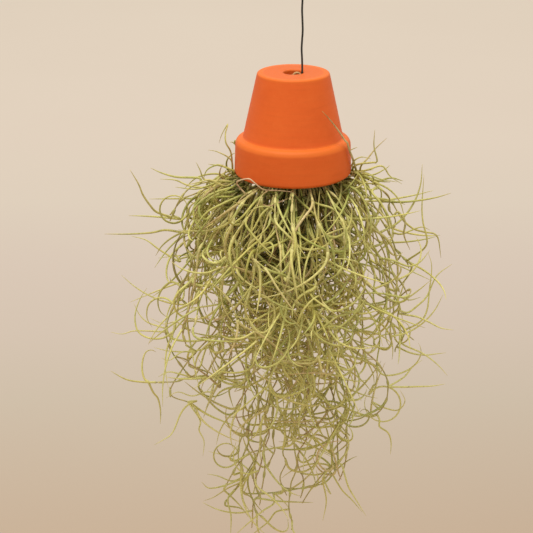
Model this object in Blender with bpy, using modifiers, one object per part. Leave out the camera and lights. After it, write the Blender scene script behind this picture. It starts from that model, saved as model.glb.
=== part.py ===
"""Spanish moss bunch in an upturned terracotta pot, hung by a wire.

Metres, +Z up.  The origin is the bearing point of the wire's hanging eye, the
inside of the top of the loop, where a hook would carry the whole bunch.  The
wire drops straight down through the pot's drain hole and wraps a short wooden
cross peg that lies under the hole and carries the pot.  Two twine slings pass
over the peg and hold a twine-bound neck of moss strands inside the pot.  The
strands leave the neck, fan out under the rim and hang.
"""

import math

import bmesh
import bpy
import numpy as np

# ---------------------------------------------------------------- dimensions
MM = 0.001

POT_X = -5.6            # pot axis, left of the wire line (wire rides the hole's edge)
BASE_Z = -65.0          # outer face of the pot's base, which is uppermost
POT_H = 67.0            # base face to rim edge
BASE_R = 23.6           # outer radius at the base
CONE_R = 32.3           # outer radius where the cone meets the rim band
RIM_TOP_R = 37.4        # rim band, upper
RIM_R = 38.0            # rim band, lower: a 76 mm (3 inch) pot
BAND_H = 24.3           # height of the rim band
FLOOR_T = 5.0           # thickness of the base
MOUTH_R = 32.0          # inner radius at the rim
BASE_IN_R = 18.6        # inner radius at the base
HOLE_R = 6.4            # drain hole, 12.8 mm (half inch)
POT_STEPS = 40

WIRE_R = 0.65           # 1.3 mm coated wire
EYE_R = 4.0             # inner radius of the hanging eye
PEG_R = 2.0             # cross peg
PEG_L = 31.0
PEG_X = -3.45
PEG_Z = BASE_Z - FLOOR_T - 0.3 - PEG_R
TWINE_R = 0.75

NECK_Z = -85.0          # where the strands are bound
PITCH = 2.15            # spacing of the strands in the neck
STEM_R = 0.8            # strand stems, with their scaly sheaths
LEAF_R = 0.62
N_RINGS = 3             # 1 + 6 + 12 + 18 strands

SEED = 20417


# ------------------------------------------------------------------- helpers
def clear_scene():
    for old in list(bpy.data.objects):
        bpy.data.objects.remove(old, do_unlink=True)


def material(name, rgb, rough, metallic=0.0):
    mat = bpy.data.materials.new(name)
    mat.use_nodes = True
    shader = mat.node_tree.nodes["Principled BSDF"]
    shader.inputs["Base Color"].default_value = (*rgb, 1.0)
    shader.inputs["Roughness"].default_value = rough
    shader.inputs["Metallic"].default_value = metallic
    return mat


def collection(name, hidden=False):
    made = bpy.data.collections.new(name)
    bpy.context.scene.collection.children.link(made)
    made.hide_render = hidden
    return made


def shade(obj, angle=40.0):
    obj.data.shade_smooth()
    obj.data.set_sharp_from_angle(angle=math.radians(angle))


def arc(cx, cz, r, a0, a1, n):
    """Points on an arc in the (radius, height) plane, angles in degrees."""
    return [
        (cx + r * math.cos(math.radians(a0 + (a1 - a0) * k / n)),
         cz + r * math.sin(math.radians(a0 + (a1 - a0) * k / n)))
        for k in range(n + 1)
    ]


def turned(name, profile, x, steps, mat, into):
    """A closed profile of (radius, height) points turned about a vertical axis."""
    mesh = bpy.data.meshes.new(name)
    verts = [(r * MM, 0.0, z * MM) for r, z in profile]
    edges = [(k, (k + 1) % len(verts)) for k in range(len(verts))]
    mesh.from_pydata(verts, edges, [])
    obj = bpy.data.objects.new(name, mesh)
    into.objects.link(obj)
    obj.location = (x * MM, 0.0, 0.0)
    screw = obj.modifiers.new("turn", "SCREW")
    screw.axis = "Z"
    screw.angle = 2 * math.pi
    screw.steps = screw.render_steps = steps
    screw.use_merge_vertices = True
    screw.merge_threshold = 0.00005
    mesh.materials.append(mat)
    return obj


def tube(name, splines, radius, mat, into, resolution=2, cyclic=False):
    """A curve object, one POLY spline for each list of (point, radius factor)."""
    curve = bpy.data.curves.new(name, "CURVE")
    curve.dimensions = "3D"
    curve.bevel_depth = radius * MM
    curve.bevel_resolution = resolution
    curve.use_fill_caps = True
    for points in splines:
        spline = curve.splines.new("POLY")
        spline.points.add(len(points) - 1)
        for slot, (p, factor) in zip(spline.points, points):
            slot.co = (p[0] * MM, p[1] * MM, p[2] * MM, 1.0)
            slot.radius = factor
        spline.use_cyclic_u = cyclic
        spline.use_smooth = True
    curve.materials.append(mat)
    obj = bpy.data.objects.new(name, curve)
    into.objects.link(obj)
    return obj


def catmull(points, n):
    """n points, evenly spaced by arc length, on a smooth curve through points."""
    p = np.array(points, float)
    p = np.vstack([2 * p[0] - p[1], p, 2 * p[-1] - p[-2]])
    fine = []
    for k in range(1, len(p) - 2):
        for t in np.linspace(0, 1, 24, endpoint=False):
            a, b, c, d = p[k - 1], p[k], p[k + 1], p[k + 2]
            fine.append(0.5 * (2 * b + (c - a) * t + (2 * a - 5 * b + 4 * c - d) * t * t
                               + (3 * b - a - 3 * c + d) * t ** 3))
    fine.append(p[-2])
    fine = np.array(fine)
    s = np.concatenate([[0], np.cumsum(np.linalg.norm(np.diff(fine, axis=0), axis=1))])
    want = np.linspace(0, s[-1], n)
    return np.stack([np.interp(want, s, fine[:, k]) for k in range(3)], axis=1)


def length_of(p):
    return float(np.linalg.norm(np.diff(p, axis=0), axis=1).sum())


# ---------------------------------------------------------------- strand plan
def neck_places():
    """Hexagonal rings of strands in the bound neck: (ring, x, y) from the axis."""
    places = [(0, 0.0, 0.0)]
    for ring in range(1, N_RINGS + 1):
        count = 6 * ring
        for k in range(count):
            a = 2 * math.pi * k / count + 0.17 * ring
            places.append((ring, ring * PITCH * math.cos(a), ring * PITCH * math.sin(a)))
    return places


def stem_paths():
    """The hanging line of each strand, kept apart from its neighbours."""
    rng = np.random.default_rng(SEED)
    places = neck_places()
    paths = []
    for index, (ring, nx, ny) in enumerate(places):
        a = math.atan2(ny, nx) if ring else 2.4
        lean = np.array([math.cos(a), math.sin(a)])
        top = BASE_Z - 12.6 - 0.9 * rng.random()
        if ring == 3:       # the skirt: out past the rim and over
            rim = rng.uniform(24.0, 28.5)
            reach = rng.uniform(60, 80) * (1.0 + 0.10 * (math.cos(a) < -0.3))
            low = rng.uniform(-252, -206)
            line = [(ring * PITCH, top), (ring * PITCH, NECK_Z - 5), (rim * 0.62, -112),
                    (rim, -133), (rim + 0.42 * (reach - rim), -147 - 5 * rng.random()),
                    (rim + 0.80 * (reach - rim), -170 - 8 * rng.random()),
                    (reach, 0.5 * (low - 178)), (reach * rng.uniform(0.92, 1.06), low)]
        elif ring == 2:     # the body
            rim = rng.uniform(14.0, 19.0)
            reach = rng.uniform(34, 56)
            low = rng.uniform(-316, -262)
            line = [(ring * PITCH, top), (ring * PITCH, NECK_Z - 5), (rim * 0.7, -114),
                    (rim, -135), (rim + 0.55 * (reach - rim), -165),
                    (reach, -200 - 10 * rng.random()),
                    (reach * 0.98, 0.5 * (low - 205)), (reach * 0.72, low)]
        else:               # the tail
            rim = 5.0 + 3.0 * ring
            reach = 9.0 + 10.0 * ring * rng.uniform(0.8, 1.3)
            low = rng.uniform(-388, -342) if index % 3 else -390.0
            line = [(ring * PITCH, top), (ring * PITCH, NECK_Z - 5), (rim * 0.8, -116),
                    (rim, -138), (rim + 0.6 * (reach - rim), -185),
                    (reach, -240), (reach * 0.95, 0.5 * (low - 240)), (reach * 0.9, low)]
        pts = np.array([[r * lean[0], r * lean[1], z] for r, z in line])
        pts[:, 0] += POT_X
        # the tail drifts left as it hangs
        drop = np.clip((-pts[:, 2] - 200) / 170, 0, 1)
        pts[:, 0] -= 15.0 * drop * (1.0 if ring < 3 else 0.3)
        path = catmull(pts, 34)
        # loose waves that start below the rim, with shorter ones lower down
        along = np.linspace(0, 1, 34)
        free = np.clip((-path[:, 2] - 132) / 40, 0, 1)
        lower = np.clip((-path[:, 2] - 160) / 60, 0, 1)
        for k in range(3):
            for w, size, where in ((1.0, 5.0, free), (2.2, 2.8, free), (3.6, 2.4, lower)):
                path[:, k] += where * rng.normal(0, size) * np.sin(
                    2 * math.pi * (w * 1.7 * along + rng.random()))
        paths.append(path)
    # push apart wherever two stems come close below the neck
    pinned = 6
    owner = np.repeat(np.arange(len(paths)), 34)
    order = np.tile(np.arange(34), len(paths))
    for turn in range(160):
        every = np.concatenate(paths)
        if turn % 8 == 0:
            size = (every ** 2).sum(1)
            apart = size[:, None] + size[None, :] - 2 * every @ every.T
            first, second = np.nonzero((apart < 15.0 ** 2) & (owner[:, None] != owner[None, :]))
        gap = every[first] - every[second]
        dist = np.linalg.norm(gap, axis=1) + 1e-9
        push = np.where(dist < 6.0, (6.0 - dist) / dist, 0.0)[:, None] * gap
        move = 0.22 * np.stack([np.bincount(first, push[:, k], len(every)) for k in range(3)], axis=1)
        move[order < pinned] = 0
        move[order == pinned] *= 0.2
        inside = every[:, 2] > -136
        move[inside] *= 0.35
        every = every + np.clip(move, -1.5, 1.5)
        for i in range(len(paths)):
            p = every[i * 34:(i + 1) * 34]
            mid = 0.5 * (p[:-2] + p[2:])
            q = p.copy()
            q[pinned + 1:-1] += 0.10 * (mid - p[1:-1])[pinned:]
            paths[i] = q
    return places, paths


def part_stems(stems, apart=3.6, rounds=18):
    """Moves the points of stems whose straight runs still pass closer than apart."""
    n, sub = len(stems[0]), 6
    weight = np.zeros(((n - 1) * sub + 1, n))
    for k in range(len(weight)):
        seg = min(k // sub, n - 2)
        t = k / sub - seg
        weight[k, seg], weight[k, seg + 1] = 1 - t, t
    for _ in range(rounds):
        dense = np.array([weight @ s for s in stems])
        moved = 0
        for i, stem in enumerate(stems):
            for j in range(len(stems)):
                if j == i:
                    continue
                gap = dense[i][:, None] - dense[j][None]
                dist = np.linalg.norm(gap, axis=2) + 1e-9
                # the strands may lie closer together in and just below the neck
                need = apart - (apart - 2.05) * np.clip((dense[i][:, 2] + 125) / 30, 0, 1)
                short = dist.min(axis=1) - need
                short[dense[i][:, 2] > -91] = 99.0
                if short.min() >= 0:
                    continue
                a = int(short.argmin())
                b = int(dist[a].argmin())
                push = gap[a, b] / dist[a, b] * (need[a] + 0.3 - dist[a, b]) * 0.6
                share = weight[a] / (weight[a] @ weight[a])
                share[:2] = 0
                stem += share[:, None] * push
                moved += 1
        if not moved:
            break
    return stems


def curl(start, heading, length, turn, axis, n, droop=0.0):
    """A leaf's line: it leaves start along heading and turns by turn radians in all."""
    d = heading / np.linalg.norm(heading)
    axis = axis - d * float(axis @ d)
    axis = axis / (np.linalg.norm(axis) + 1e-9)
    pts, p = [np.array(start, float)], np.array(start, float)
    step = length / n
    for k in range(n):
        share = (k + 0.5) / n
        rate = turn / n * (1.25 - 0.5 * share)
        d = d * math.cos(rate) + np.cross(axis, d) * math.sin(rate)
        d = d + np.array([0, 0, -droop / n])
        d /= np.linalg.norm(d)
        p = p + d * step
        pts.append(p)
    return np.array(pts)


def spaced(p, gap):
    n = max(2, int(length_of(p) / gap) + 1)
    s = np.concatenate([[0], np.cumsum(np.linalg.norm(np.diff(p, axis=0), axis=1))])
    want = np.linspace(0, s[-1], n)
    return np.stack([np.interp(want, s, p[:, k]) for k in range(3)], axis=1)


def pot_distance(p):
    """Roughly how far points are from the pot's wall, measured by its outline."""
    r = np.hypot(p[:, 0] - POT_X, p[:, 1])
    z = p[:, 2]
    inside_band = (z > BASE_Z - POT_H - 2.5) & (z < BASE_Z + 3)
    hit = inside_band & (r > 15) & (r < 41)
    return not hit.any()


def strands():
    """(stem points, [leaf points]) of each strand, none closer than a stem's width to another."""
    rng = np.random.default_rng(SEED + 1)
    places, paths = stem_paths()
    stems = []
    for (ring, nx, ny), path in zip(places, paths):
        start = NECK_Z - 5
        free = path[path[:, 2] < start - 1]
        foot = np.array([nx + POT_X, ny, start])
        stems.append(np.vstack([path[:1], catmull(np.vstack([foot[None], free]), 20)]))
    stems = part_stems(stems)
    cloud = [spaced(s, 1.0) for s in stems]
    leaves = [[] for _ in stems]
    for turn_no in range(4):
        for i, stem in enumerate(stems):
            ring = places[i][0]
            if turn_no >= 3 and ring < 2:
                continue
            far = ring == 3 and turn_no in (0, 2)
            for attempt in range(60):
                fine = spaced(stem, 1.0)
                share = [0.97, 0.78, 0.60, 0.88][turn_no] + rng.uniform(-0.05, 0.02)
                at = int(share * (len(fine) - 2))
                if fine[at][2] > -141:
                    at = int(np.argmax(fine[:, 2] < -142))
                start = fine[at]
                along = fine[min(at + 1, len(fine) - 1)] - fine[max(at - 1, 0)]
                along /= np.linalg.norm(along)
                out = np.array([start[0] - POT_X, start[1], 0.0])
                out /= np.linalg.norm(out) + 1e-9
                side = rng.normal(size=3)
                heading = 0.55 * along + 0.9 * out * rng.uniform(0.1, 1.2) + 0.75 * side
                if far:
                    heading = 0.4 * along + 1.5 * out + 0.35 * side
                heading -= along * min(0.0, float(heading @ along))
                # leave the stem at a clear angle, so that the joint is clean
                h = heading / np.linalg.norm(heading)
                if float(h @ along) > 0.80:
                    h = h - along * (float(h @ along) - 0.6)
                size = rng.uniform(40, 58) if far else rng.uniform(30, 50)
                bend = rng.uniform(0.4, 1.5) if far else rng.uniform(0.8, 2.6)
                leaf = curl(start, h, size, bend * rng.choice([-1, 1]),
                            rng.normal(size=3), 4, droop=0.15)
                probe = spaced(leaf, 0.8)
                if not pot_distance(probe):
                    continue
                if probe[:, 2].max() > -104 or probe[:, 2].min() < -402:
                    continue
                if np.abs(probe[:, 1]).max() > 106 or probe[:, 0].min() < -124 or probe[:, 0].max() > 100:
                    continue
                clear = True
                for j, other in enumerate(cloud):
                    if j == i:
                        # its own strand: only past the joint
                        rest = probe[5:]
                        d = np.linalg.norm(rest[:, None] - other[None], axis=2)
                        if d.min() < 2.1:
                            clear = False
                            break
                        continue
                    d = np.linalg.norm(probe[:, None] - other[None], axis=2)
                    if d.min() < 2.3:
                        clear = False
                        break
                if clear:
                    leaves[i].append(leaf)
                    cloud[i] = np.vstack([cloud[i], probe])
                    break
    return places, stems, leaves


# --------------------------------------------------------------------- pieces
def pot_profile():
    """Outer side from the base down to the rim edge, then back up the inside."""
    top, edge = BASE_Z, BASE_Z - POT_H
    band = edge + BAND_H
    outer = [(HOLE_R + 0.7, top)]
    outer += arc(BASE_R - 1.6, top - 1.6, 1.6, 90, 14, 3)
    outer += [(CONE_R, band + 0.15)]
    outer += arc(RIM_TOP_R - 4.6, band - 4.6, 4.6, 84, 6, 4)
    outer += [(RIM_R, edge + 6.0)]
    outer += arc(RIM_R - 2.6, edge + 2.6, 2.6, -8, -90, 3)
    inner = arc(MOUTH_R + 1.5, edge + 1.5, 1.5, -90, -180, 2)
    inner += [(MOUTH_R - 1.1, edge + 20.0)]
    inner += arc(BASE_IN_R - 3.0 + 1.6, top - FLOOR_T - 3.0, 3.0, 10, 90, 3)
    inner += [(HOLE_R + 0.2, top - FLOOR_T), (HOLE_R, top - FLOOR_T + 0.6), (HOLE_R, top - 0.9)]
    return outer + inner


def wire_path():
    """One wire: round the peg, up through the hole, round the eye and down its own neck."""
    pts = []
    wrap = PEG_R + WIRE_R + 0.3
    turns = 1.5
    # the wrap starts on the peg's left side and climbs towards y = -0.8 at its right side
    n = 15
    for k in range(n + 1):
        a = math.radians(180.0 + 540.0 * k / n)
        y = -4.1 + 3.3 * k / n
        pts.append((PEG_X + wrap * math.cos(a), y, PEG_Z + wrap * math.sin(a)))
    pts = pts[:-1]
    # up through the hole's right side; the wire has slight set bends
    rise = [(-0.42, -0.75, PEG_Z + 0.6), (-0.25, -0.7, BASE_Z - 4.4), (0.0, -0.55, BASE_Z - 1.0),
            (0.05, -0.3, BASE_Z + 3.0), (-0.12, -0.1, BASE_Z + 9.0), (-0.42, 0.05, BASE_Z + 15.0),
            (-0.15, 0.1, BASE_Z + 21.0), (0.18, 0.0, BASE_Z + 27.0), (-0.05, -0.1, BASE_Z + 34.0),
            (-0.3, 0.0, BASE_Z + 40.0), (-0.1, 0.0, BASE_Z + 46.0), (0.0, 0.0, -13.0),
            (0.0, 0.0, -9.6)]
    pts += rise
    ring = EYE_R + WIRE_R
    for k in range(1, 15):
        a = math.radians(-90 + 340 * k / 14)
        pts.append((ring * math.cos(a), 1.5 * (k / 14) ** 2, -EYE_R + ring * math.sin(a)))
    # the tail winds down round the wire
    r, pitch = 2 * WIRE_R + 0.35, 1.9
    for k in range(0, 19):
        a = math.radians(90 + 60 * k)
        pts.append((r * math.cos(a), r * math.sin(a), -10.2 - pitch * k / 6))
    return pts


def strand_object(name, stem, leaves, mat, into, spare):
    """A strand: its stem with the leaves joined on, one body."""
    n = len(stem)
    line = [(p, 1.0 - 0.45 * (k / (n - 1)) ** 2) for k, p in enumerate(stem)]
    parts = [("stem", [line], STEM_R)]
    shoots = []
    for leaf in leaves:
        m = len(leaf)
        shoots.append([(p, 1.0 - 0.62 * (k / (m - 1)) ** 1.5) for k, p in enumerate(leaf)])
    if shoots:
        parts.append(("leaves", shoots, LEAF_R))
    made = []
    for label, splines, radius in parts:
        curve = tube(f"{name}_{label}", splines, radius, mat, spare, resolution=0)
        graph = bpy.context.evaluated_depsgraph_get()
        mesh = bpy.data.meshes.new_from_object(curve.evaluated_get(graph))
        bm = bmesh.new()
        bm.from_mesh(mesh)
        bmesh.ops.remove_doubles(bm, verts=bm.verts, dist=0.00002)
        bmesh.ops.recalc_face_normals(bm, faces=bm.faces)
        bm.to_mesh(mesh)
        bm.free()
        matrix = curve.matrix_world.copy()
        data = curve.data
        bpy.data.objects.remove(curve, do_unlink=True)
        bpy.data.curves.remove(data)
        obj = bpy.data.objects.new(name if label == "stem" else f"{name}_shoots", mesh)
        obj.matrix_world = matrix
        (into if label == "stem" else spare).objects.link(obj)
        if not mesh.materials:
            mesh.materials.append(mat)
        made.append(obj)
    if len(made) > 1:
        join = made[0].modifiers.new("leaves", "BOOLEAN")
        join.operation = "UNION"
        join.solver = "EXACT"
        join.use_self = True
        join.object = made[1]
        made[1].hide_render = True
        made[1].display_type = "WIRE"
    return made[0]


def build():
    clear_scene()
    main = collection("spanish_moss_bunch")
    spare = collection("construction", hidden=True)

    clay = material("terracotta", (0.74, 0.155, 0.035), 0.78)
    coated = material("wire_coating", (0.018, 0.024, 0.014), 0.45)
    wood = material("peg_wood", (0.42, 0.27, 0.13), 0.8)
    jute = material("twine", (0.46, 0.33, 0.18), 0.95)
    moss = material("moss_green", (0.30, 0.35, 0.10), 0.75)

    pot = turned("terracotta_pot", pot_profile(), POT_X, POT_STEPS, clay, main)
    shade(pot, 50)

    tube("hanging_wire", [[(p, 1.0) for p in wire_path()]], WIRE_R, coated, main, resolution=1)

    bpy.ops.mesh.primitive_cylinder_add(vertices=20, radius=PEG_R * MM, depth=PEG_L * MM,
                                        location=(PEG_X * MM, 0, PEG_Z * MM),
                                        rotation=(math.pi / 2, 0, 0))
    peg = bpy.context.active_object
    peg.name = peg.data.name = "cross_peg"
    for c in list(peg.users_collection):
        c.objects.unlink(peg)
    main.objects.link(peg)
    peg.data.materials.append(wood)
    edge = peg.modifiers.new("edges", "BEVEL")
    edge.width = 0.35 * MM
    edge.segments = 1
    edge.limit_method = "ANGLE"
    shade(peg, 50)

    # two slings over the peg, their feet on the neck binding
    ring_r = N_RINGS * PITCH + STEM_R + 0.35 + TWINE_R
    over = PEG_R + 0.3 + TWINE_R
    for name, y in (("sling_twine_front", 1.15), ("sling_twine_back", 3.05)):
        foot = math.sqrt(ring_r ** 2 - y ** 2)
        shoulder = NECK_Z + 8.2
        line = [(POT_X - foot - 0.1, y, NECK_Z + 2 * TWINE_R + 0.3),
                (POT_X - foot - 0.3, y, 0.5 * (NECK_Z + shoulder) + 0.8),
                (POT_X - foot + 0.3, y, shoulder)]
        for k in range(9):
            a = math.radians(172 - 164 * k / 8)
            line.append((PEG_X + over * math.cos(a), y, PEG_Z + over * math.sin(a)))
        line += [(POT_X + foot - 0.3, y, shoulder),
                 (POT_X + foot + 0.3, y, 0.5 * (NECK_Z + shoulder) + 0.8),
                 (POT_X + foot + 0.1, y, NECK_Z + 2 * TWINE_R + 0.3)]
        tube(name, [[(p, 1.0) for p in line]], TWINE_R, jute, main, resolution=1)

    bpy.ops.mesh.primitive_torus_add(major_radius=ring_r * MM, minor_radius=TWINE_R * MM,
                                     major_segments=32, minor_segments=6,
                                     location=(POT_X * MM, 0, NECK_Z * MM))
    ring = bpy.context.active_object
    ring.name = ring.data.name = "neck_twine"
    for c in list(ring.users_collection):
        c.objects.unlink(ring)
    main.objects.link(ring)
    ring.data.materials.append(jute)
    shade(ring, 60)

    places, stems, leaves = strands()
    for i, (stem, shoots) in enumerate(zip(stems, leaves)):
        obj = strand_object(f"moss_strand_{i + 1:02d}", stem, shoots, moss, main, spare)
        shade(obj, 60)


build()
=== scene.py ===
"""Looks of the hanging spanish moss bunch: an upturned terracotta pot on a thin
coated wire, with the moss strands hanging out from under its rim."""

import math

import bpy
import numpy as np
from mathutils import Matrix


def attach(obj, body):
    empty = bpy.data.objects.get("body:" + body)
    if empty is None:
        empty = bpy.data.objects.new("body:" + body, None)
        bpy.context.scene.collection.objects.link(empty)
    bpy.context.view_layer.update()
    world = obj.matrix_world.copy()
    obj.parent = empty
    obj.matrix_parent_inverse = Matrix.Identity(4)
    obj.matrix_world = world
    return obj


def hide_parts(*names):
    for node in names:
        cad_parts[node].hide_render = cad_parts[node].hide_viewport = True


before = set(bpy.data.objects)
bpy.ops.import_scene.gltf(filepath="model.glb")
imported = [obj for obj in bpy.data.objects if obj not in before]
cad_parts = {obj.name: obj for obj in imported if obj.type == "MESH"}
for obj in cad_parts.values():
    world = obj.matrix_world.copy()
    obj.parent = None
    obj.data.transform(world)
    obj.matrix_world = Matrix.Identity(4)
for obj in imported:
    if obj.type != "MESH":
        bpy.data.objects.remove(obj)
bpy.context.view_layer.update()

# ---------------------------------------------------------------- dimensions
MM = 0.001
POT_X, BASE_Z, POT_H = -5.6, -65.0, 67.0
BASE_R, CONE_R, RIM_TOP_R, RIM_R, BAND_H = 23.6, 32.3, 37.4, 38.0, 24.3
FLOOR_T, MOUTH_R, BASE_IN_R, HOLE_R = 5.0, 32.0, 18.6, 6.4
WIRE_R, EYE_R = 0.65, 4.0
PEG_R, PEG_L, PEG_X = 2.0, 31.0, -3.45
PEG_Z = BASE_Z - FLOOR_T - 0.3 - PEG_R
TWINE_R = 0.75
NECK_Z, PITCH, STEM_R, LEAF_R, N_RINGS = -85.0, 2.15, 0.8, 0.62, 3
SEED = 20417
RING_R = N_RINGS * PITCH + STEM_R + 0.35 + TWINE_R

# -------------------------------------------------------------------- camera
CAM = np.array([-0.0228, -1.07, 0.192])
PITCH_DOWN = math.radians(20.0)
FOCAL_PX, MID = 1708.0, 266.5

cam_data = bpy.data.cameras.new("camera")
cam = bpy.data.objects.new("camera", cam_data)
bpy.context.scene.collection.objects.link(cam)
cam.location = CAM
cam.rotation_euler = (math.pi / 2 - PITCH_DOWN, 0.0, 0.0)
cam_data.sensor_fit = "HORIZONTAL"
cam_data.sensor_width = 36.0
cam_data.lens = 36.0 * FOCAL_PX / 533.0
cam_data.clip_start, cam_data.clip_end = 0.05, 60.0
bpy.context.scene.camera = cam


def to_px(p):
    """Where points (mm) fall in the 533 x 533 picture."""
    q = np.asarray(p, float) * MM - CAM
    fwd = np.array([0, math.cos(PITCH_DOWN), -math.sin(PITCH_DOWN)])
    up = np.array([0, math.sin(PITCH_DOWN), math.cos(PITCH_DOWN)])
    d = q @ fwd
    return np.stack([MID + FOCAL_PX * q[..., 0] / d, MID - FOCAL_PX * (q @ up) / d], axis=-1)


def from_px(u, v, y):
    """The point (mm) seen at picture place (u, v) that lies at depth y (mm)."""
    fwd = np.array([0, math.cos(PITCH_DOWN), -math.sin(PITCH_DOWN)])
    up = np.array([0, math.sin(PITCH_DOWN), math.cos(PITCH_DOWN)])
    ray = np.array([1.0, 0, 0]) * (u - MID) / FOCAL_PX + up * (MID - v) / FOCAL_PX + fwd
    return (CAM + ray * (y * MM - CAM[1]) / ray[1]) / MM


# ------------------------------------------------------------ small curve kit
def arc(cx, cz, r, a0, a1, n):
    """Points on an arc in the (radius, height) plane, angles in degrees."""
    return [
        (cx + r * math.cos(math.radians(a0 + (a1 - a0) * k / n)),
         cz + r * math.sin(math.radians(a0 + (a1 - a0) * k / n)))
        for k in range(n + 1)
    ]


def catmull(points, n):
    """n points, evenly spaced by arc length, on a smooth curve through points."""
    p = np.array(points, float)
    p = np.vstack([2 * p[0] - p[1], p, 2 * p[-1] - p[-2]])
    fine = []
    for k in range(1, len(p) - 2):
        for t in np.linspace(0, 1, 24, endpoint=False):
            a, b, c, d = p[k - 1], p[k], p[k + 1], p[k + 2]
            fine.append(0.5 * (2 * b + (c - a) * t + (2 * a - 5 * b + 4 * c - d) * t * t
                               + (3 * b - a - 3 * c + d) * t ** 3))
    fine.append(p[-2])
    fine = np.array(fine)
    s = np.concatenate([[0], np.cumsum(np.linalg.norm(np.diff(fine, axis=0), axis=1))])
    want = np.linspace(0, s[-1], n)
    return np.stack([np.interp(want, s, fine[:, k]) for k in range(3)], axis=1)


def length_of(p):
    return float(np.linalg.norm(np.diff(p, axis=0), axis=1).sum())


def neck_places():
    """Hexagonal rings of strands in the bound neck: (ring, x, y) from the axis."""
    places = [(0, 0.0, 0.0)]
    for ring in range(1, N_RINGS + 1):
        count = 6 * ring
        for k in range(count):
            a = 2 * math.pi * k / count + 0.17 * ring
            places.append((ring, ring * PITCH * math.cos(a), ring * PITCH * math.sin(a)))
    return places


def stem_paths():
    """The hanging line of each strand, kept apart from its neighbours."""
    rng = np.random.default_rng(SEED)
    places = neck_places()
    paths = []
    for index, (ring, nx, ny) in enumerate(places):
        a = math.atan2(ny, nx) if ring else 2.4
        lean = np.array([math.cos(a), math.sin(a)])
        top = BASE_Z - 12.6 - 0.9 * rng.random()
        if ring == 3:       # the skirt: out past the rim and over
            rim = rng.uniform(24.0, 28.5)
            reach = rng.uniform(60, 80) * (1.0 + 0.10 * (math.cos(a) < -0.3))
            low = rng.uniform(-252, -206)
            line = [(ring * PITCH, top), (ring * PITCH, NECK_Z - 5), (rim * 0.62, -112),
                    (rim, -133), (rim + 0.42 * (reach - rim), -147 - 5 * rng.random()),
                    (rim + 0.80 * (reach - rim), -170 - 8 * rng.random()),
                    (reach, 0.5 * (low - 178)), (reach * rng.uniform(0.92, 1.06), low)]
        elif ring == 2:     # the body
            rim = rng.uniform(14.0, 19.0)
            reach = rng.uniform(34, 56)
            low = rng.uniform(-316, -262)
            line = [(ring * PITCH, top), (ring * PITCH, NECK_Z - 5), (rim * 0.7, -114),
                    (rim, -135), (rim + 0.55 * (reach - rim), -165),
                    (reach, -200 - 10 * rng.random()),
                    (reach * 0.98, 0.5 * (low - 205)), (reach * 0.72, low)]
        else:               # the tail
            rim = 5.0 + 3.0 * ring
            reach = 9.0 + 10.0 * ring * rng.uniform(0.8, 1.3)
            low = rng.uniform(-388, -342) if index % 3 else -390.0
            line = [(ring * PITCH, top), (ring * PITCH, NECK_Z - 5), (rim * 0.8, -116),
                    (rim, -138), (rim + 0.6 * (reach - rim), -185),
                    (reach, -240), (reach * 0.95, 0.5 * (low - 240)), (reach * 0.9, low)]
        pts = np.array([[r * lean[0], r * lean[1], z] for r, z in line])
        pts[:, 0] += POT_X
        # the tail drifts left as it hangs
        drop = np.clip((-pts[:, 2] - 200) / 170, 0, 1)
        pts[:, 0] -= 15.0 * drop * (1.0 if ring < 3 else 0.3)
        path = catmull(pts, 34)
        # loose waves that start below the rim, with shorter ones lower down
        along = np.linspace(0, 1, 34)
        free = np.clip((-path[:, 2] - 132) / 40, 0, 1)
        lower = np.clip((-path[:, 2] - 160) / 60, 0, 1)
        for k in range(3):
            for w, size, where in ((1.0, 5.0, free), (2.2, 2.8, free), (3.6, 2.4, lower)):
                path[:, k] += where * rng.normal(0, size) * np.sin(
                    2 * math.pi * (w * 1.7 * along + rng.random()))
        paths.append(path)
    # push apart wherever two stems come close below the neck
    pinned = 6
    owner = np.repeat(np.arange(len(paths)), 34)
    order = np.tile(np.arange(34), len(paths))
    for turn in range(160):
        every = np.concatenate(paths)
        if turn % 8 == 0:
            size = (every ** 2).sum(1)
            apart = size[:, None] + size[None, :] - 2 * every @ every.T
            first, second = np.nonzero((apart < 15.0 ** 2) & (owner[:, None] != owner[None, :]))
        gap = every[first] - every[second]
        dist = np.linalg.norm(gap, axis=1) + 1e-9
        push = np.where(dist < 6.0, (6.0 - dist) / dist, 0.0)[:, None] * gap
        move = 0.22 * np.stack([np.bincount(first, push[:, k], len(every)) for k in range(3)], axis=1)
        move[order < pinned] = 0
        move[order == pinned] *= 0.2
        inside = every[:, 2] > -136
        move[inside] *= 0.35
        every = every + np.clip(move, -1.5, 1.5)
        for i in range(len(paths)):
            p = every[i * 34:(i + 1) * 34]
            mid = 0.5 * (p[:-2] + p[2:])
            q = p.copy()
            q[pinned + 1:-1] += 0.10 * (mid - p[1:-1])[pinned:]
            paths[i] = q
    return places, paths


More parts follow.
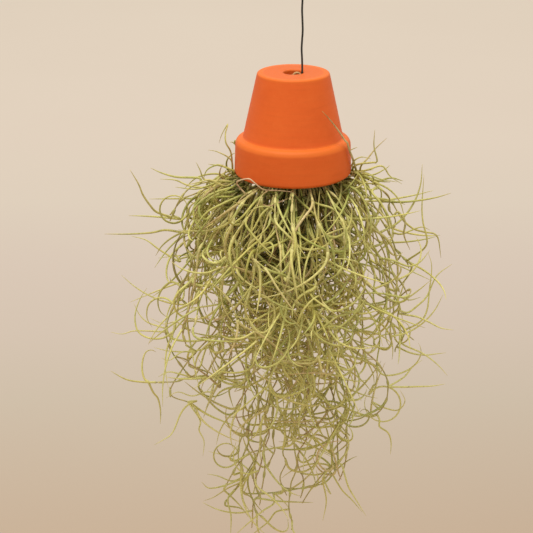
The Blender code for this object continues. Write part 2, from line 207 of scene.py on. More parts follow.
def part_stems(stems, apart=3.6, rounds=18):
    """Moves the points of stems whose straight runs still pass closer than apart."""
    n, sub = len(stems[0]), 6
    weight = np.zeros(((n - 1) * sub + 1, n))
    for k in range(len(weight)):
        seg = min(k // sub, n - 2)
        t = k / sub - seg
        weight[k, seg], weight[k, seg + 1] = 1 - t, t
    for _ in range(rounds):
        dense = np.array([weight @ s for s in stems])
        moved = 0
        for i, stem in enumerate(stems):
            for j in range(len(stems)):
                if j == i:
                    continue
                gap = dense[i][:, None] - dense[j][None]
                dist = np.linalg.norm(gap, axis=2) + 1e-9
                # the strands may lie closer together in and just below the neck
                need = apart - (apart - 2.05) * np.clip((dense[i][:, 2] + 125) / 30, 0, 1)
                short = dist.min(axis=1) - need
                short[dense[i][:, 2] > -91] = 99.0
                if short.min() >= 0:
                    continue
                a = int(short.argmin())
                b = int(dist[a].argmin())
                push = gap[a, b] / dist[a, b] * (need[a] + 0.3 - dist[a, b]) * 0.6
                share = weight[a] / (weight[a] @ weight[a])
                share[:2] = 0
                stem += share[:, None] * push
                moved += 1
        if not moved:
            break
    return stems


def curl(start, heading, length, turn, axis, n, droop=0.0):
    """A leaf's line: it leaves start along heading and turns by turn radians in all."""
    d = heading / np.linalg.norm(heading)
    axis = axis - d * float(axis @ d)
    axis = axis / (np.linalg.norm(axis) + 1e-9)
    pts, p = [np.array(start, float)], np.array(start, float)
    step = length / n
    for k in range(n):
        share = (k + 0.5) / n
        rate = turn / n * (1.25 - 0.5 * share)
        d = d * math.cos(rate) + np.cross(axis, d) * math.sin(rate)
        d = d + np.array([0, 0, -droop / n])
        d /= np.linalg.norm(d)
        p = p + d * step
        pts.append(p)
    return np.array(pts)


def spaced(p, gap):
    n = max(2, int(length_of(p) / gap) + 1)
    s = np.concatenate([[0], np.cumsum(np.linalg.norm(np.diff(p, axis=0), axis=1))])
    want = np.linspace(0, s[-1], n)
    return np.stack([np.interp(want, s, p[:, k]) for k in range(3)], axis=1)


def pot_distance(p):
    """Whether points stay clear of the pot's wall: none may lie in a rough band round its outline."""
    r = np.hypot(p[:, 0] - POT_X, p[:, 1])
    z = p[:, 2]
    inside_band = (z > BASE_Z - POT_H - 2.5) & (z < BASE_Z + 3)
    hit = inside_band & (r > 15) & (r < 41)
    return not hit.any()


def strands():
    """(stem points, [leaf points]) of each strand, none closer than a stem's width to another."""
    rng = np.random.default_rng(SEED + 1)
    places, paths = stem_paths()
    stems = []
    for (ring, nx, ny), path in zip(places, paths):
        start = NECK_Z - 5
        free = path[path[:, 2] < start - 1]
        foot = np.array([nx + POT_X, ny, start])
        stems.append(np.vstack([path[:1], catmull(np.vstack([foot[None], free]), 20)]))
    stems = part_stems(stems)
    cloud = [spaced(s, 1.0) for s in stems]
    leaves = [[] for _ in stems]
    for turn_no in range(4):
        for i, stem in enumerate(stems):
            ring = places[i][0]
            if turn_no >= 3 and ring < 2:
                continue
            far = ring == 3 and turn_no in (0, 2)
            for attempt in range(60):
                fine = spaced(stem, 1.0)
                share = [0.97, 0.78, 0.60, 0.88][turn_no] + rng.uniform(-0.05, 0.02)
                at = int(share * (len(fine) - 2))
                if fine[at][2] > -141:
                    at = int(np.argmax(fine[:, 2] < -142))
                start = fine[at]
                along = fine[min(at + 1, len(fine) - 1)] - fine[max(at - 1, 0)]
                along /= np.linalg.norm(along)
                out = np.array([start[0] - POT_X, start[1], 0.0])
                out /= np.linalg.norm(out) + 1e-9
                side = rng.normal(size=3)
                heading = 0.55 * along + 0.9 * out * rng.uniform(0.1, 1.2) + 0.75 * side
                if far:
                    heading = 0.4 * along + 1.5 * out + 0.35 * side
                heading -= along * min(0.0, float(heading @ along))
                # leave the stem at a clear angle, so that the joint is clean
                h = heading / np.linalg.norm(heading)
                if float(h @ along) > 0.80:
                    h = h - along * (float(h @ along) - 0.6)
                size = rng.uniform(40, 58) if far else rng.uniform(30, 50)
                bend = rng.uniform(0.4, 1.5) if far else rng.uniform(0.8, 2.6)
                leaf = curl(start, h, size, bend * rng.choice([-1, 1]),
                            rng.normal(size=3), 4, droop=0.15)
                probe = spaced(leaf, 0.8)
                if not pot_distance(probe):
                    continue
                if probe[:, 2].max() > -104 or probe[:, 2].min() < -402:
                    continue
                if np.abs(probe[:, 1]).max() > 106 or probe[:, 0].min() < -124 or probe[:, 0].max() > 100:
                    continue
                clear = True
                for j, other in enumerate(cloud):
                    if j == i:
                        # its own strand: only past the joint
                        rest = probe[5:]
                        d = np.linalg.norm(rest[:, None] - other[None], axis=2)
                        if d.min() < 2.1:
                            clear = False
                            break
                        continue
                    d = np.linalg.norm(probe[:, None] - other[None], axis=2)
                    if d.min() < 2.3:
                        clear = False
                        break
                if clear:
                    leaves[i].append(leaf)
                    cloud[i] = np.vstack([cloud[i], probe])
                    break
    return places, stems, leaves


def wire_path():
    """One wire: round the peg, up through the hole, round the eye and down its own neck."""
    pts = []
    wrap = PEG_R + WIRE_R + 0.3
    turns = 1.5
    # the wrap starts on the peg's left side and climbs towards y = -0.8 at its right side
    n = 15
    for k in range(n + 1):
        a = math.radians(180.0 + 540.0 * k / n)
        y = -4.1 + 3.3 * k / n
        pts.append((PEG_X + wrap * math.cos(a), y, PEG_Z + wrap * math.sin(a)))
    pts = pts[:-1]
    # up through the hole's right side; the wire has slight set bends
    rise = [(-0.42, -0.75, PEG_Z + 0.6), (-0.25, -0.7, BASE_Z - 4.4), (0.0, -0.55, BASE_Z - 1.0),
            (0.05, -0.3, BASE_Z + 3.0), (-0.12, -0.1, BASE_Z + 9.0), (-0.42, 0.05, BASE_Z + 15.0),
            (-0.15, 0.1, BASE_Z + 21.0), (0.18, 0.0, BASE_Z + 27.0), (-0.05, -0.1, BASE_Z + 34.0),
            (-0.3, 0.0, BASE_Z + 40.0), (-0.1, 0.0, BASE_Z + 46.0), (0.0, 0.0, -13.0),
            (0.0, 0.0, -9.6)]
    pts += rise
    ring = EYE_R + WIRE_R
    for k in range(1, 15):
        a = math.radians(-90 + 340 * k / 14)
        pts.append((ring * math.cos(a), 1.5 * (k / 14) ** 2, -EYE_R + ring * math.sin(a)))
    # the tail winds down round the wire
    r, pitch = 2 * WIRE_R + 0.35, 1.9
    for k in range(0, 19):
        a = math.radians(90 + 60 * k)
        pts.append((r * math.cos(a), r * math.sin(a), -10.2 - pitch * k / 6))
    return pts


# --------------------------------------------------------------- mesh making
def unit(v):
    return v / (np.linalg.norm(v, axis=-1, keepdims=True) + 1e-12)


def smooth_step(t):
    t = np.clip(t, 0, 1)
    return t * t * (3 - 2 * t)


def ring_frames(paths):
    """Two cross directions at every point of n paths, carried along without twist."""
    tangent = unit(np.gradient(paths, axis=1))
    ref = np.where(np.abs(tangent[:, 0, 2:3]) < 0.9, [[0.0, 0.0, 1.0]], [[1.0, 0.0, 0.0]])
    side = np.empty_like(paths)
    side[:, 0] = unit(np.cross(tangent[:, 0], ref))
    for k in range(1, paths.shape[1]):
        s = side[:, k - 1]
        side[:, k] = unit(s - (s * tangent[:, k]).sum(-1, keepdims=True) * tangent[:, k])
    return side, np.cross(tangent, side)


class Skin:
    """Gathers closed tubes and turns them into one mesh."""

    def __init__(self):
        self.verts, self.quads, self.caps, self.tints, self.count = [], [], [], [], 0

    def tubes(self, paths, radii, sides, tints, flat=None):
        """paths (n, m, 3) mm, radii (n, m) mm, tints (n, m, 4)."""
        n, m, _ = paths.shape
        side, other = ring_frames(paths)
        a = np.linspace(0, 2 * math.pi, sides, endpoint=False)
        ca, sa = np.cos(a), np.sin(a)
        r = radii[:, :, None, None]
        squeeze = 1.0 if flat is None else flat[:, :, None, None]
        ring = paths[:, :, None, :] + r * (ca[None, None, :, None] * side[:, :, None, :]
                                           + squeeze * sa[None, None, :, None] * other[:, :, None, :])
        self.verts.append(ring.reshape(-1, 3))
        self.tints.append(np.repeat(tints[:, :, None, :], sides, axis=2).reshape(-1, 4))
        base = self.count + (np.arange(n) * m * sides)[:, None, None]
        row = (np.arange(m - 1) * sides)[None, :, None]
        k = np.arange(sides)[None, None, :]
        nxt = (k + 1) % sides
        quads = np.stack([base + row + k, base + row + nxt, base + row + sides + nxt,
                          base + row + sides + k], axis=-1)
        self.quads.append(quads.reshape(-1, 4))
        first = self.count + (np.arange(n) * m * sides)[:, None] + np.arange(sides)[None, ::-1]
        last = self.count + (np.arange(n) * m * sides + (m - 1) * sides)[:, None] + np.arange(sides)[None, :]
        self.caps.append((sides, np.concatenate([first, last])))
        self.count += n * m * sides

    def grid(self, verts, n_rows, n_cols, tints):
        """A surface closed both ways: rows of points, the last row joined to the first."""
        self.verts.append(verts.reshape(-1, 3))
        self.tints.append(tints.reshape(-1, 4))
        i = np.arange(n_rows)[:, None]
        j = np.arange(n_cols)[None, :]
        i2, j2 = (i + 1) % n_rows, (j + 1) % n_cols
        quads = np.stack([i * n_cols + j, i * n_cols + j2, i2 * n_cols + j2, i2 * n_cols + j], axis=-1)
        self.quads.append(self.count + quads.reshape(-1, 4))
        self.count += n_rows * n_cols

    def object(self, name, mat):
        verts = np.concatenate(self.verts) * MM
        tints = np.concatenate(self.tints)
        loops = [np.concatenate(self.quads).ravel()]
        totals = [np.full(sum(len(q) for q in self.quads), 4)]
        for sides, caps in self.caps:
            loops.append(caps.ravel())
            totals.append(np.full(len(caps), sides))
        loops, totals = np.concatenate(loops), np.concatenate(totals)
        starts = np.concatenate([[0], np.cumsum(totals)[:-1]])
        mesh = bpy.data.meshes.new(name)
        mesh.vertices.add(len(verts))
        mesh.vertices.foreach_set("co", verts.astype(np.float32).ravel())
        mesh.loops.add(len(loops))
        mesh.loops.foreach_set("vertex_index", loops.astype(np.int32))
        mesh.polygons.add(len(totals))
        mesh.polygons.foreach_set("loop_start", starts.astype(np.int32))
        mesh.update(calc_edges=True)
        mesh.validate()
        mesh.shade_smooth()
        tint = mesh.color_attributes.new(name="tint", type="FLOAT_COLOR", domain="POINT")
        tint.data.foreach_set("color", tints.astype(np.float32).ravel())
        mesh.materials.append(mat)
        obj = bpy.data.objects.new(name, mesh)
        bpy.context.scene.collection.objects.link(obj)
        return obj


def resample(p, n):
    s = np.concatenate([[0], np.cumsum(np.linalg.norm(np.diff(p, axis=0), axis=1))])
    want = np.linspace(0, s[-1], n)
    return np.stack([np.interp(want, s, p[:, k]) for k in range(3)], axis=1)


# ------------------------------------------------------------------ materials
class Nodes:
    """Shorthand for building a node material."""

    def __init__(self, name):
        self.mat = bpy.data.materials.new(name)
        self.mat.use_nodes = True
        self.tree = self.mat.node_tree
        self.shader = self.tree.nodes["Principled BSDF"]

    def node(self, kind, **settings):
        made = self.tree.nodes.new(kind)
        for key, value in settings.items():
            setattr(made, key, value)
        return made

    def link(self, a, b):
        self.tree.links.new(a, b)

    def position(self, scale=(1, 1, 1), rotation=(0, 0, 0)):
        where = self.node("ShaderNodeTexCoord")
        mapping = self.node("ShaderNodeMapping")
        mapping.inputs["Scale"].default_value = scale
        mapping.inputs["Rotation"].default_value = rotation
        self.link(where.outputs["Object"], mapping.inputs["Vector"])
        return mapping.outputs["Vector"]

    def noise(self, at, scale, detail=3.0, rough=0.55, distortion=0.0):
        n = self.node("ShaderNodeTexNoise")
        n.inputs["Scale"].default_value = scale
        n.inputs["Detail"].default_value = detail
        n.inputs["Roughness"].default_value = rough
        n.inputs["Distortion"].default_value = distortion
        self.link(at, n.inputs["Vector"])
        return n.outputs["Fac"]

    def ramp(self, value, low, high, out_low=0.0, out_high=1.0):
        m = self.node("ShaderNodeMapRange")
        m.inputs["From Min"].default_value = low
        m.inputs["From Max"].default_value = high
        m.inputs["To Min"].default_value = out_low
        m.inputs["To Max"].default_value = out_high
        m.clamp = True
        self.link(value, m.inputs["Value"])
        return m.outputs["Result"]

    def math(self, operation, a, b):
        m = self.node("ShaderNodeMath", operation=operation)
        for k, v in enumerate((a, b)):
            if isinstance(v, (int, float)):
                m.inputs[k].default_value = v
            else:
                self.link(v, m.inputs[k])
        return m.outputs[0]

    def mix(self, factor, a, b, blend="MIX"):
        m = self.node("ShaderNodeMix", data_type="RGBA", blend_type=blend)
        if isinstance(factor, (int, float)):
            m.inputs[0].default_value = factor
        else:
            self.link(factor, m.inputs[0])
        for k, v in ((6, a), (7, b)):
            if isinstance(v, tuple):
                m.inputs[k].default_value = (*v, 1.0)
            else:
                self.link(v, m.inputs[k])
        return m.outputs[2]

    def bump(self, height, strength, distance):
        b = self.node("ShaderNodeBump")
        b.inputs["Strength"].default_value = strength
        b.inputs["Distance"].default_value = distance
        self.link(height, b.inputs["Height"])
        return b.outputs["Normal"]

    def tint(self):
        a = self.node("ShaderNodeAttribute", attribute_type="GEOMETRY", attribute_name="tint")
        s = self.node("ShaderNodeSeparateColor")
        self.link(a.outputs["Color"], s.inputs[0])
        return s.outputs[0], s.outputs[1], s.outputs[2]

    def finish(self, color, rough, normal=None):
        self.link(color, self.shader.inputs["Base Color"])
        if isinstance(rough, (int, float)):
            self.shader.inputs["Roughness"].default_value = rough
        else:
            self.link(rough, self.shader.inputs["Roughness"])
        if normal is not None:
            self.link(normal, self.shader.inputs["Normal"])
        return self.mat


def srgb(r, g, b):
    return tuple(((c / 255.0 + 0.055) / 1.055) ** 2.4 if c > 10 else c / 255.0 / 12.92 for c in (r, g, b))


def moss_material():
    n = Nodes("moss_living")
    brown, light, along = n.tint()
    at = n.position()
    patch = n.noise(at, 42.0, 2.0)
    fine = n.noise(at, 520.0, 3.0)
    scales = n.noise(at, 2600.0, 2.0, 0.7)
    # the light value mixes a darker and a paler green; it carries each leaf's own tone, painted shade deep under the
    # pot and painted light lower down
    green = n.mix(light, srgb(*MOSS_DARK), srgb(*MOSS_LIGHT))
    # painted shade: leaves whose light value is near zero, deep in the bunch under the pot, turn the darkest green
    green = n.mix(n.ramp(light, 0.02, 0.20, 0.85, 0.0), green, srgb(*MOSS_PAINTED_SHADE))
    green = n.mix(n.ramp(patch, 0.40, 0.66, 0.0, 0.45), green, srgb(*MOSS_YELLOW))
    dull = n.mix(n.ramp(fine, 0.35, 0.7), srgb(*MOSS_BROWN), srgb(*MOSS_TAN))
    dull = n.mix(n.ramp(light, 0.75, 1.0, 0.0, 0.75), dull, srgb(*MOSS_ROOT))
    color = n.mix(brown, green, dull)
    sheath = n.ramp(along, 0.0, 0.10, 0.55, 0.0)
    color = n.mix(n.math("MULTIPLY", sheath, n.ramp(light, 0.0, 0.3)), color, srgb(*MOSS_SHEATH))
    tip = n.math("MULTIPLY", n.ramp(along, 0.86, 1.0), n.ramp(light, 0.15, 0.9, 0.65, 0.2))
    color = n.mix(tip, color, srgb(*MOSS_TIP))
    bloom = n.math("MULTIPLY", n.ramp(scales, 0.46, 0.72, 0.0, 0.36), n.ramp(light, 0.0, 0.3))
    color = n.mix(bloom, color, srgb(*MOSS_BLOOM))
    color = n.mix(n.ramp(fine, 0.30, 0.52, 0.30, 0.0), color, srgb(*MOSS_DEEP), "MIX")
    rough = n.ramp(scales, 0.3, 0.7, 0.52, 0.74)
    n.shader.inputs["Specular IOR Level"].default_value = 0.38
    return n.finish(color, rough, n.bump(scales, 0.35, 0.00012))


def clay_material():
    n = Nodes("fired_clay")
    at = n.position()
    stretched = n.position(scale=(1.0, 1.0, 9.0))
    broad = n.noise(at, 22.0, 3.0)
    cloud = n.noise(at, 90.0, 4.0, 0.6)
    rings = n.noise(stretched, 60.0, 2.0)
    grain = n.noise(at, 1500.0, 3.0, 0.7)
    pits = n.node("ShaderNodeTexVoronoi")
    pits.inputs["Scale"].default_value = 420.0
    n.link(at, pits.inputs["Vector"])
    color = n.mix(n.ramp(broad, 0.3, 0.7), srgb(*CLAY_A), srgb(*CLAY_B))
    color = n.mix(n.ramp(cloud, 0.42, 0.72, 0.0, 0.35), color, srgb(*CLAY_C))
    color = n.mix(n.ramp(rings, 0.45, 0.75, 0.0, 0.12), color, srgb(*CLAY_D))
    color = n.mix(n.ramp(pits.outputs["Distance"], 0.0, 0.16, 0.35, 0.0), color, srgb(*CLAY_D))
    # painted highlight: the ledge of the rim and the edge of the base are painted a yellower, paler orange where the
    # top light catches them
    height = n.node("ShaderNodeSeparateXYZ")
    n.link(at, height.inputs[0])
    ledge = (BASE_Z - POT_H + BAND_H) * MM
    painted_highlight = n.math("MULTIPLY", n.ramp(height.outputs["Z"], ledge - 0.0048, ledge - 0.0022),
                  n.ramp(height.outputs["Z"], ledge + 0.0012, ledge + 0.0002))
    painted_highlight = n.math("MAXIMUM", painted_highlight, n.ramp(height.outputs["Z"], BASE_Z * MM - 0.0022, BASE_Z * MM - 0.0004))
    color = n.mix(n.math("MULTIPLY", painted_highlight, 0.5), color, srgb(*CLAY_PAINTED_HIGHLIGHT))
    # painted shade: a faint darker ring on the base, for the shadow of a shallow ring turned into it; the ring itself
    # is not modelled
    axis = [n.math("POWER", n.math("ADD", height.outputs[k], -c * MM), 2.0) for k, c in (("X", POT_X), ("Y", 0.0))]
    radius = n.math("POWER", n.math("ADD", axis[0], axis[1]), 0.5)
    painted_ring_shade = n.math("MULTIPLY", n.ramp(radius, 0.0196, 0.0190),
                   n.ramp(height.outputs["Z"], BASE_Z * MM - 0.0012, BASE_Z * MM - 0.0004))
    color = n.mix(n.math("MULTIPLY", painted_ring_shade, 0.38), color, srgb(*CLAY_D))
    color = n.mix(n.ramp(grain, 0.60, 0.78, 0.0, 0.35), color, srgb(*CLAY_DUST))
    n.shader.inputs["Specular IOR Level"].default_value = 0.22
    relief = n.math("ADD", n.math("MULTIPLY", grain, 0.5), n.math("MULTIPLY", rings, 0.4))
    return n.finish(color, n.ramp(grain, 0.3, 0.7, 0.46, 0.62), n.bump(relief, 0.11, 0.0002))


def twine_material():
    n = Nodes("jute")
    brown, light, along = n.tint()
    at = n.position()
    fibre = n.noise(at, 1900.0, 4.0, 0.7)
    patch = n.noise(at, 160.0, 2.0)
    color = n.mix(n.ramp(fibre, 0.3, 0.7), srgb(204, 150, 88), srgb(250, 218, 162))
    color = n.mix(n.ramp(patch, 0.4, 0.7, 0.0, 0.5), color, srgb(186, 150, 104))
    return n.finish(color, 0.92, n.bump(fibre, 0.6, 0.0002))


def wire_material():
    n = Nodes("coated_wire")
    at = n.position()
    wear = n.noise(at, 260.0, 4.0, 0.65)
    fine = n.noise(at, 1400.0, 2.0)
    color = n.mix(n.ramp(wear, 0.35, 0.7), srgb(24, 26, 20), srgb(44, 44, 32))
    color = n.mix(n.ramp(fine, 0.6, 0.8, 0.0, 0.35), color, srgb(92, 82, 56))
    n.shader.inputs["Specular IOR Level"].default_value = 0.5
    return n.finish(color, n.ramp(wear, 0.3, 0.7, 0.34, 0.55), n.bump(fine, 0.25, 0.00008))


def twig_material():
    n = Nodes("twig")
    brown, light, along = n.tint()
    at = n.position(scale=(1.0, 0.12, 1.0))
    grain = n.noise(at, 900.0, 4.0, 0.6, 0.6)
    spots = n.noise(n.position(), 320.0, 3.0)
    bark = n.mix(n.ramp(grain, 0.3, 0.7), srgb(96, 70, 44), srgb(158, 124, 82))
    bark = n.mix(n.ramp(spots, 0.55, 0.75, 0.0, 0.6), bark, srgb(122, 112, 88))
    color = n.mix(light, bark, srgb(212, 184, 138))
    return n.finish(color, 0.85, n.bump(grain, 0.7, 0.0003))


MOSS_DARK, MOSS_LIGHT, MOSS_YELLOW = (122, 138, 26), (222, 218, 132), (216, 198, 94)
MOSS_ROOT = (232, 196, 160)
# painted shade: the darkest green, for leaves deep in the bunch under the pot
MOSS_PAINTED_SHADE = (60, 68, 6)
MOSS_BROWN, MOSS_TAN = (158, 118, 84), (206, 168, 134)
MOSS_SHEATH, MOSS_TIP, MOSS_BLOOM, MOSS_DEEP = (216, 206, 140), (196, 158, 76), (222, 220, 164), (92, 96, 38)
# CLAY_PAINTED_HIGHLIGHT is the painted highlight colour for the rim's ledge and the base's edge
CLAY_PAINTED_HIGHLIGHT = (219, 116, 34)
CLAY_A, CLAY_B, CLAY_C, CLAY_D, CLAY_DUST = (233, 105, 38), (224, 95, 32), (238, 114, 46), (194, 83, 28), (238, 152, 88)

moss_mat, clay_mat, twine_mat = moss_material(), clay_material(), twine_material()
wire_mat, twig_mat = wire_material(), twig_material()


# ------------------------------------------------------------------- the pot
def pot_wall_inside(z):
    """Inner radius of the pot at height z."""
    return np.interp(z, [-132.0, -112.0, -73.0], [32.0, 30.9, 20.0])


def fine_profile():
    top, edge = BASE_Z, BASE_Z - POT_H
    band = edge + BAND_H
    pts = [(HOLE_R + 0.9, top), (12.0, top - 0.05), (17.5, top - 0.05)]
    pts += arc(BASE_R - 1.7, top - 1.7, 1.7, 90, 12, 10)
    pts += [(BASE_R + (CONE_R - BASE_R) * t, top - 1.5 + (band + 0.9 - top + 1.5) * t)
            for t in np.linspace(0.06, 0.98, 22)]
    pts += [(CONE_R + 0.12, band + 0.35), (CONE_R + 0.5, band + 0.06)]
    pts += arc(RIM_TOP_R - 4.6, band - 4.6, 4.6, 86, 4, 14)
    pts += [(RIM_TOP_R + (RIM_R - RIM_TOP_R) * t, band - 4.6 - (BAND_H - 4.6 - 3.2) * t)
            for t in np.linspace(0.08, 1.0, 9)]
    pts += arc(RIM_R - 2.6, edge + 2.6, 2.6, -6, -90, 10)
    pts += arc(MOUTH_R + 1.5, edge + 1.5, 1.5, -90, -180, 7)
    pts += [(MOUTH_R - 1.1 * t, edge + 1.5 + 18.5 * t) for t in np.linspace(0.1, 1.0, 8)]
    low, high = edge + 20.0, top - FLOOR_T - 3.0
    pts += [(MOUTH_R - 1.1 + (BASE_IN_R + 1.6 - MOUTH_R + 1.1) * t, low + (high - low) * t)
            for t in np.linspace(0.08, 0.96, 14)]
    pts += arc(BASE_IN_R - 3.0 + 1.6, top - FLOOR_T - 3.0, 3.0, 8, 90, 7)
    pts += [(12.0, top - FLOOR_T), (HOLE_R + 0.9, top - FLOOR_T)]
    pts += arc(HOLE_R + 0.7, top - FLOOR_T + 0.7, 0.7, -90, -180, 3)
    pts += [(HOLE_R, top - 3.0), (HOLE_R, top - 1.2)]
    pts += arc(HOLE_R + 0.9, top - 0.9, 0.9, 180, 110, 4)
    return np.array(pts)


def make_pot():
    rng = np.random.default_rng(SEED + 7)
    prof = fine_profile()
    steps = 160
    a = np.linspace(0, 2 * math.pi, steps, endpoint=False)
    r = np.repeat(prof[:, 0][:, None], steps, axis=1)
    z = np.repeat(prof[:, 1][:, None], steps, axis=1)
    body = smooth_step((prof[:, 0] - 9.0) / 6.0)[:, None]
    # turning marks, a slight swell and a few shallow dings
    marks = sum(0.014 * np.sin(2 * math.pi * prof[:, 1] / w + rng.uniform(0, 6)) for w in (1.9, 3.1, 5.3, 8.7))
    r = r + body * marks[:, None]
    for k in (2, 3, 5):
        r = r + body * rng.uniform(0.03, 0.08) * np.sin(k * a[None] + rng.uniform(0, 6)
                                                       + 0.05 * prof[:, 1][:, None])
    z = z + 0.07 * np.sin(2 * a[None] + 1.3) * smooth_step((prof[:, 0] - 20) / 12)[:, None]
    outer = np.arange(len(prof)) < 68
    for _ in range(26):
        za, aa = rng.uniform(-130, -70), rng.uniform(0, 2 * math.pi)
        wide, deep = rng.uniform(0.8, 2.4), rng.uniform(0.05, 0.18)
        da = (a[None] - aa + math.pi) % (2 * math.pi) - math.pi
        dist2 = (prof[:, 1][:, None] - za) ** 2 + (da * 33.0) ** 2
        r = r - deep * np.exp(-dist2 / wide ** 2) * outer[:, None]
    verts = np.stack([POT_X + r * np.cos(a)[None], r * np.sin(a)[None], z], axis=-1)
    skin = Skin()
    # the profile runs down the outside, so the columns are turned to face out
    verts = verts[:, ::-1]
    skin.grid(verts, len(prof), steps, np.ones((len(prof), steps, 4)))
    return skin.object("terracotta_pot_fired", clay_mat)


pot = make_pot()


# --------------------------------------------------------- wire, peg, twine
wire_line = catmull(np.array(wire_path()), 460)
wire_curve = bpy.data.curves.new("hanging_wire_coated", "CURVE")
wire_curve.dimensions = "3D"
wire_curve.bevel_depth = WIRE_R * MM
wire_curve.bevel_resolution = 3
wire_curve.use_fill_caps = True
spline = wire_curve.splines.new("POLY")
spline.points.add(len(wire_line) - 1)
for slot_, q in zip(spline.points, wire_line):
    slot_.co = (*(q * MM), 1.0)
spline.use_smooth = True
wire_curve.materials.append(wire_mat)
wire = bpy.data.objects.new("hanging_wire_coated", wire_curve)
bpy.context.scene.collection.objects.link(wire)


def make_twig():
    rng = np.random.default_rng(SEED + 9)
    m, sides = 70, 28
    t = np.linspace(0, 1, m)
    y = -PEG_L / 2 + PEG_L * t
    path = np.stack([PEG_X + 0.10 * np.sin(5.1 * t + 0.4), y, PEG_Z + 0.06 * np.sin(7.3 * t)], axis=-1)
    r = PEG_R * (0.955 + 0.02 * np.sin(9 * t) + 0.015 * np.sin(31 * t + 1))
    knot = np.exp(-((t - 0.22) / 0.03) ** 2) * 0.07 + np.exp(-((t - 0.71) / 0.025) ** 2) * 0.06
    r = r * (1 + knot)
    edge = np.minimum(t, 1 - t) * PEG_L
    r = r * np.where(edge < 0.35, np.sqrt(np.clip(edge / 0.35, 0.0, 1)) * 0.16 + 0.84, 1.0)
    tint = np.zeros((1, m, 4))
    tint[..., 1] = np.where(edge < 0.3, 1.0, 0.0)[None]
    skin = Skin()
    side, other = ring_frames(path[None])
    a = np.linspace(0, 2 * math.pi, sides, endpoint=False)
    ridge = 1 + 0.018 * np.sin(7 * a)[None] + 0.012 * np.sin(13 * a + 1)[None] + 0.006 * rng.normal(size=(m, sides))
    ring = path[:, None] + (r[:, None] * ridge)[..., None] * (np.cos(a)[None, :, None] * side[0][:, None]
                                                             + np.sin(a)[None, :, None] * other[0][:, None])
    skin.tubes(path[None], r[None], sides, tint)
    skin.verts[-1] = ring.reshape(-1, 3)
    return skin.object("cross_peg_twig", twig_mat)


def twist(line, radius, plies=3, lay=3.4, fuzz=26, seed=0, skin=None, per_mm=5.0):
    """Twisted twine along a line: its plies wind round each other, with loose fibres."""
    rng = np.random.default_rng(SEED + 40 + seed)
    total = length_of(line)
    m = max(24, int(total * per_mm))
    mid = catmull(line, m)
    side, other = ring_frames(mid[None])
    side, other = side[0], other[0]
    s = np.linspace(0, total, m)
    skin = skin or Skin()
    paths, radii, tints = [], [], []
    for k in range(plies):
        a = 2 * math.pi * (s / lay + k / plies)
        off = radius * 0.47
        p = mid + off * (np.cos(a)[:, None] * side + np.sin(a)[:, None] * other)
        paths.append(p)
        radii.append(radius * (0.50 + 0.035 * np.sin(s * 2.7 + k) + 0.02 * rng.normal(size=m)))
        tint = np.zeros((m, 4))
        tint[:, 1] = rng.uniform(0.2, 0.8)
        tints.append(tint)
    skin.tubes(np.array(paths), np.array(radii), 8, np.array(tints))
    hairs, hair_r, hair_t = [], [], []
    for _ in range(fuzz):
        k = rng.integers(2, m - 3)
        d = unit(rng.normal(size=3) + 0.4 * (mid[k + 1] - mid[k]) / 0.2)
        bend = rng.normal(size=3)
        size = rng.uniform(1.0, 2.6)
        t = np.linspace(0, 1, 7)[:, None]
        hairs.append(mid[k] + d * radius * 0.6 + d * size * t + bend * 0.35 * size * t * t)
        hair_r.append(np.linspace(0.05, 0.018, 7))
        hair_t.append(np.full((7, 4), 0.5))
    if fuzz:
        skin.tubes(np.array(hairs), np.array(hair_r), 4, np.array(hair_t))
    return skin


def sling_line(y):
    foot = math.sqrt(RING_R ** 2 - y ** 2)
    shoulder = NECK_Z + 8.2
    over = PEG_R + 0.3 + TWINE_R
    line = [(POT_X - foot - 0.1, y, NECK_Z + 2 * TWINE_R + 0.3),
            (POT_X - foot - 0.3, y, 0.5 * (NECK_Z + shoulder) + 0.8),
            (POT_X - foot + 0.3, y, shoulder)]
    for k in range(9):
        a = math.radians(172 - 164 * k / 8)
        line.append((PEG_X + over * math.cos(a), y, PEG_Z + over * math.sin(a)))
    line += [(POT_X + foot - 0.3, y, shoulder),
             (POT_X + foot + 0.3, y, 0.5 * (NECK_Z + shoulder) + 0.8),
             (POT_X + foot + 0.1, y, NECK_Z + 2 * TWINE_R + 0.3)]
    return np.array(line)


twig = make_twig()
sling_front = twist(sling_line(1.15), TWINE_R * 0.97, seed=1).object("sling_front_twine", twine_mat)
back_skin = twist(sling_line(3.05), TWINE_R * 0.97, seed=2)
# the small bight tied over the peg, that shows in the drain hole
bight = np.array([(-6.35, 2.1, -70.7), (-6.25, 2.1, -68.8), (-5.35, 2.05, -66.9), (-3.4, 2.0, -65.85),
                  (-1.35, 2.05, -66.9), (-0.55, 2.1, -68.8), (-0.5, 2.1, -70.7)])
twist(bight, TWINE_R * 0.95, seed=3, skin=back_skin, fuzz=22)
sling_back = back_skin.object("sling_back_twine", twine_mat)


def neck_line():
    pts = []
    for k in range(0, 61):
        a = 2 * math.pi * 2.55 * k / 60 + 3.6
        pts.append((POT_X + RING_R * math.cos(a), RING_R * math.sin(a), NECK_Z - 1.75 + 3.1 * k / 60))
    return np.array(pts)


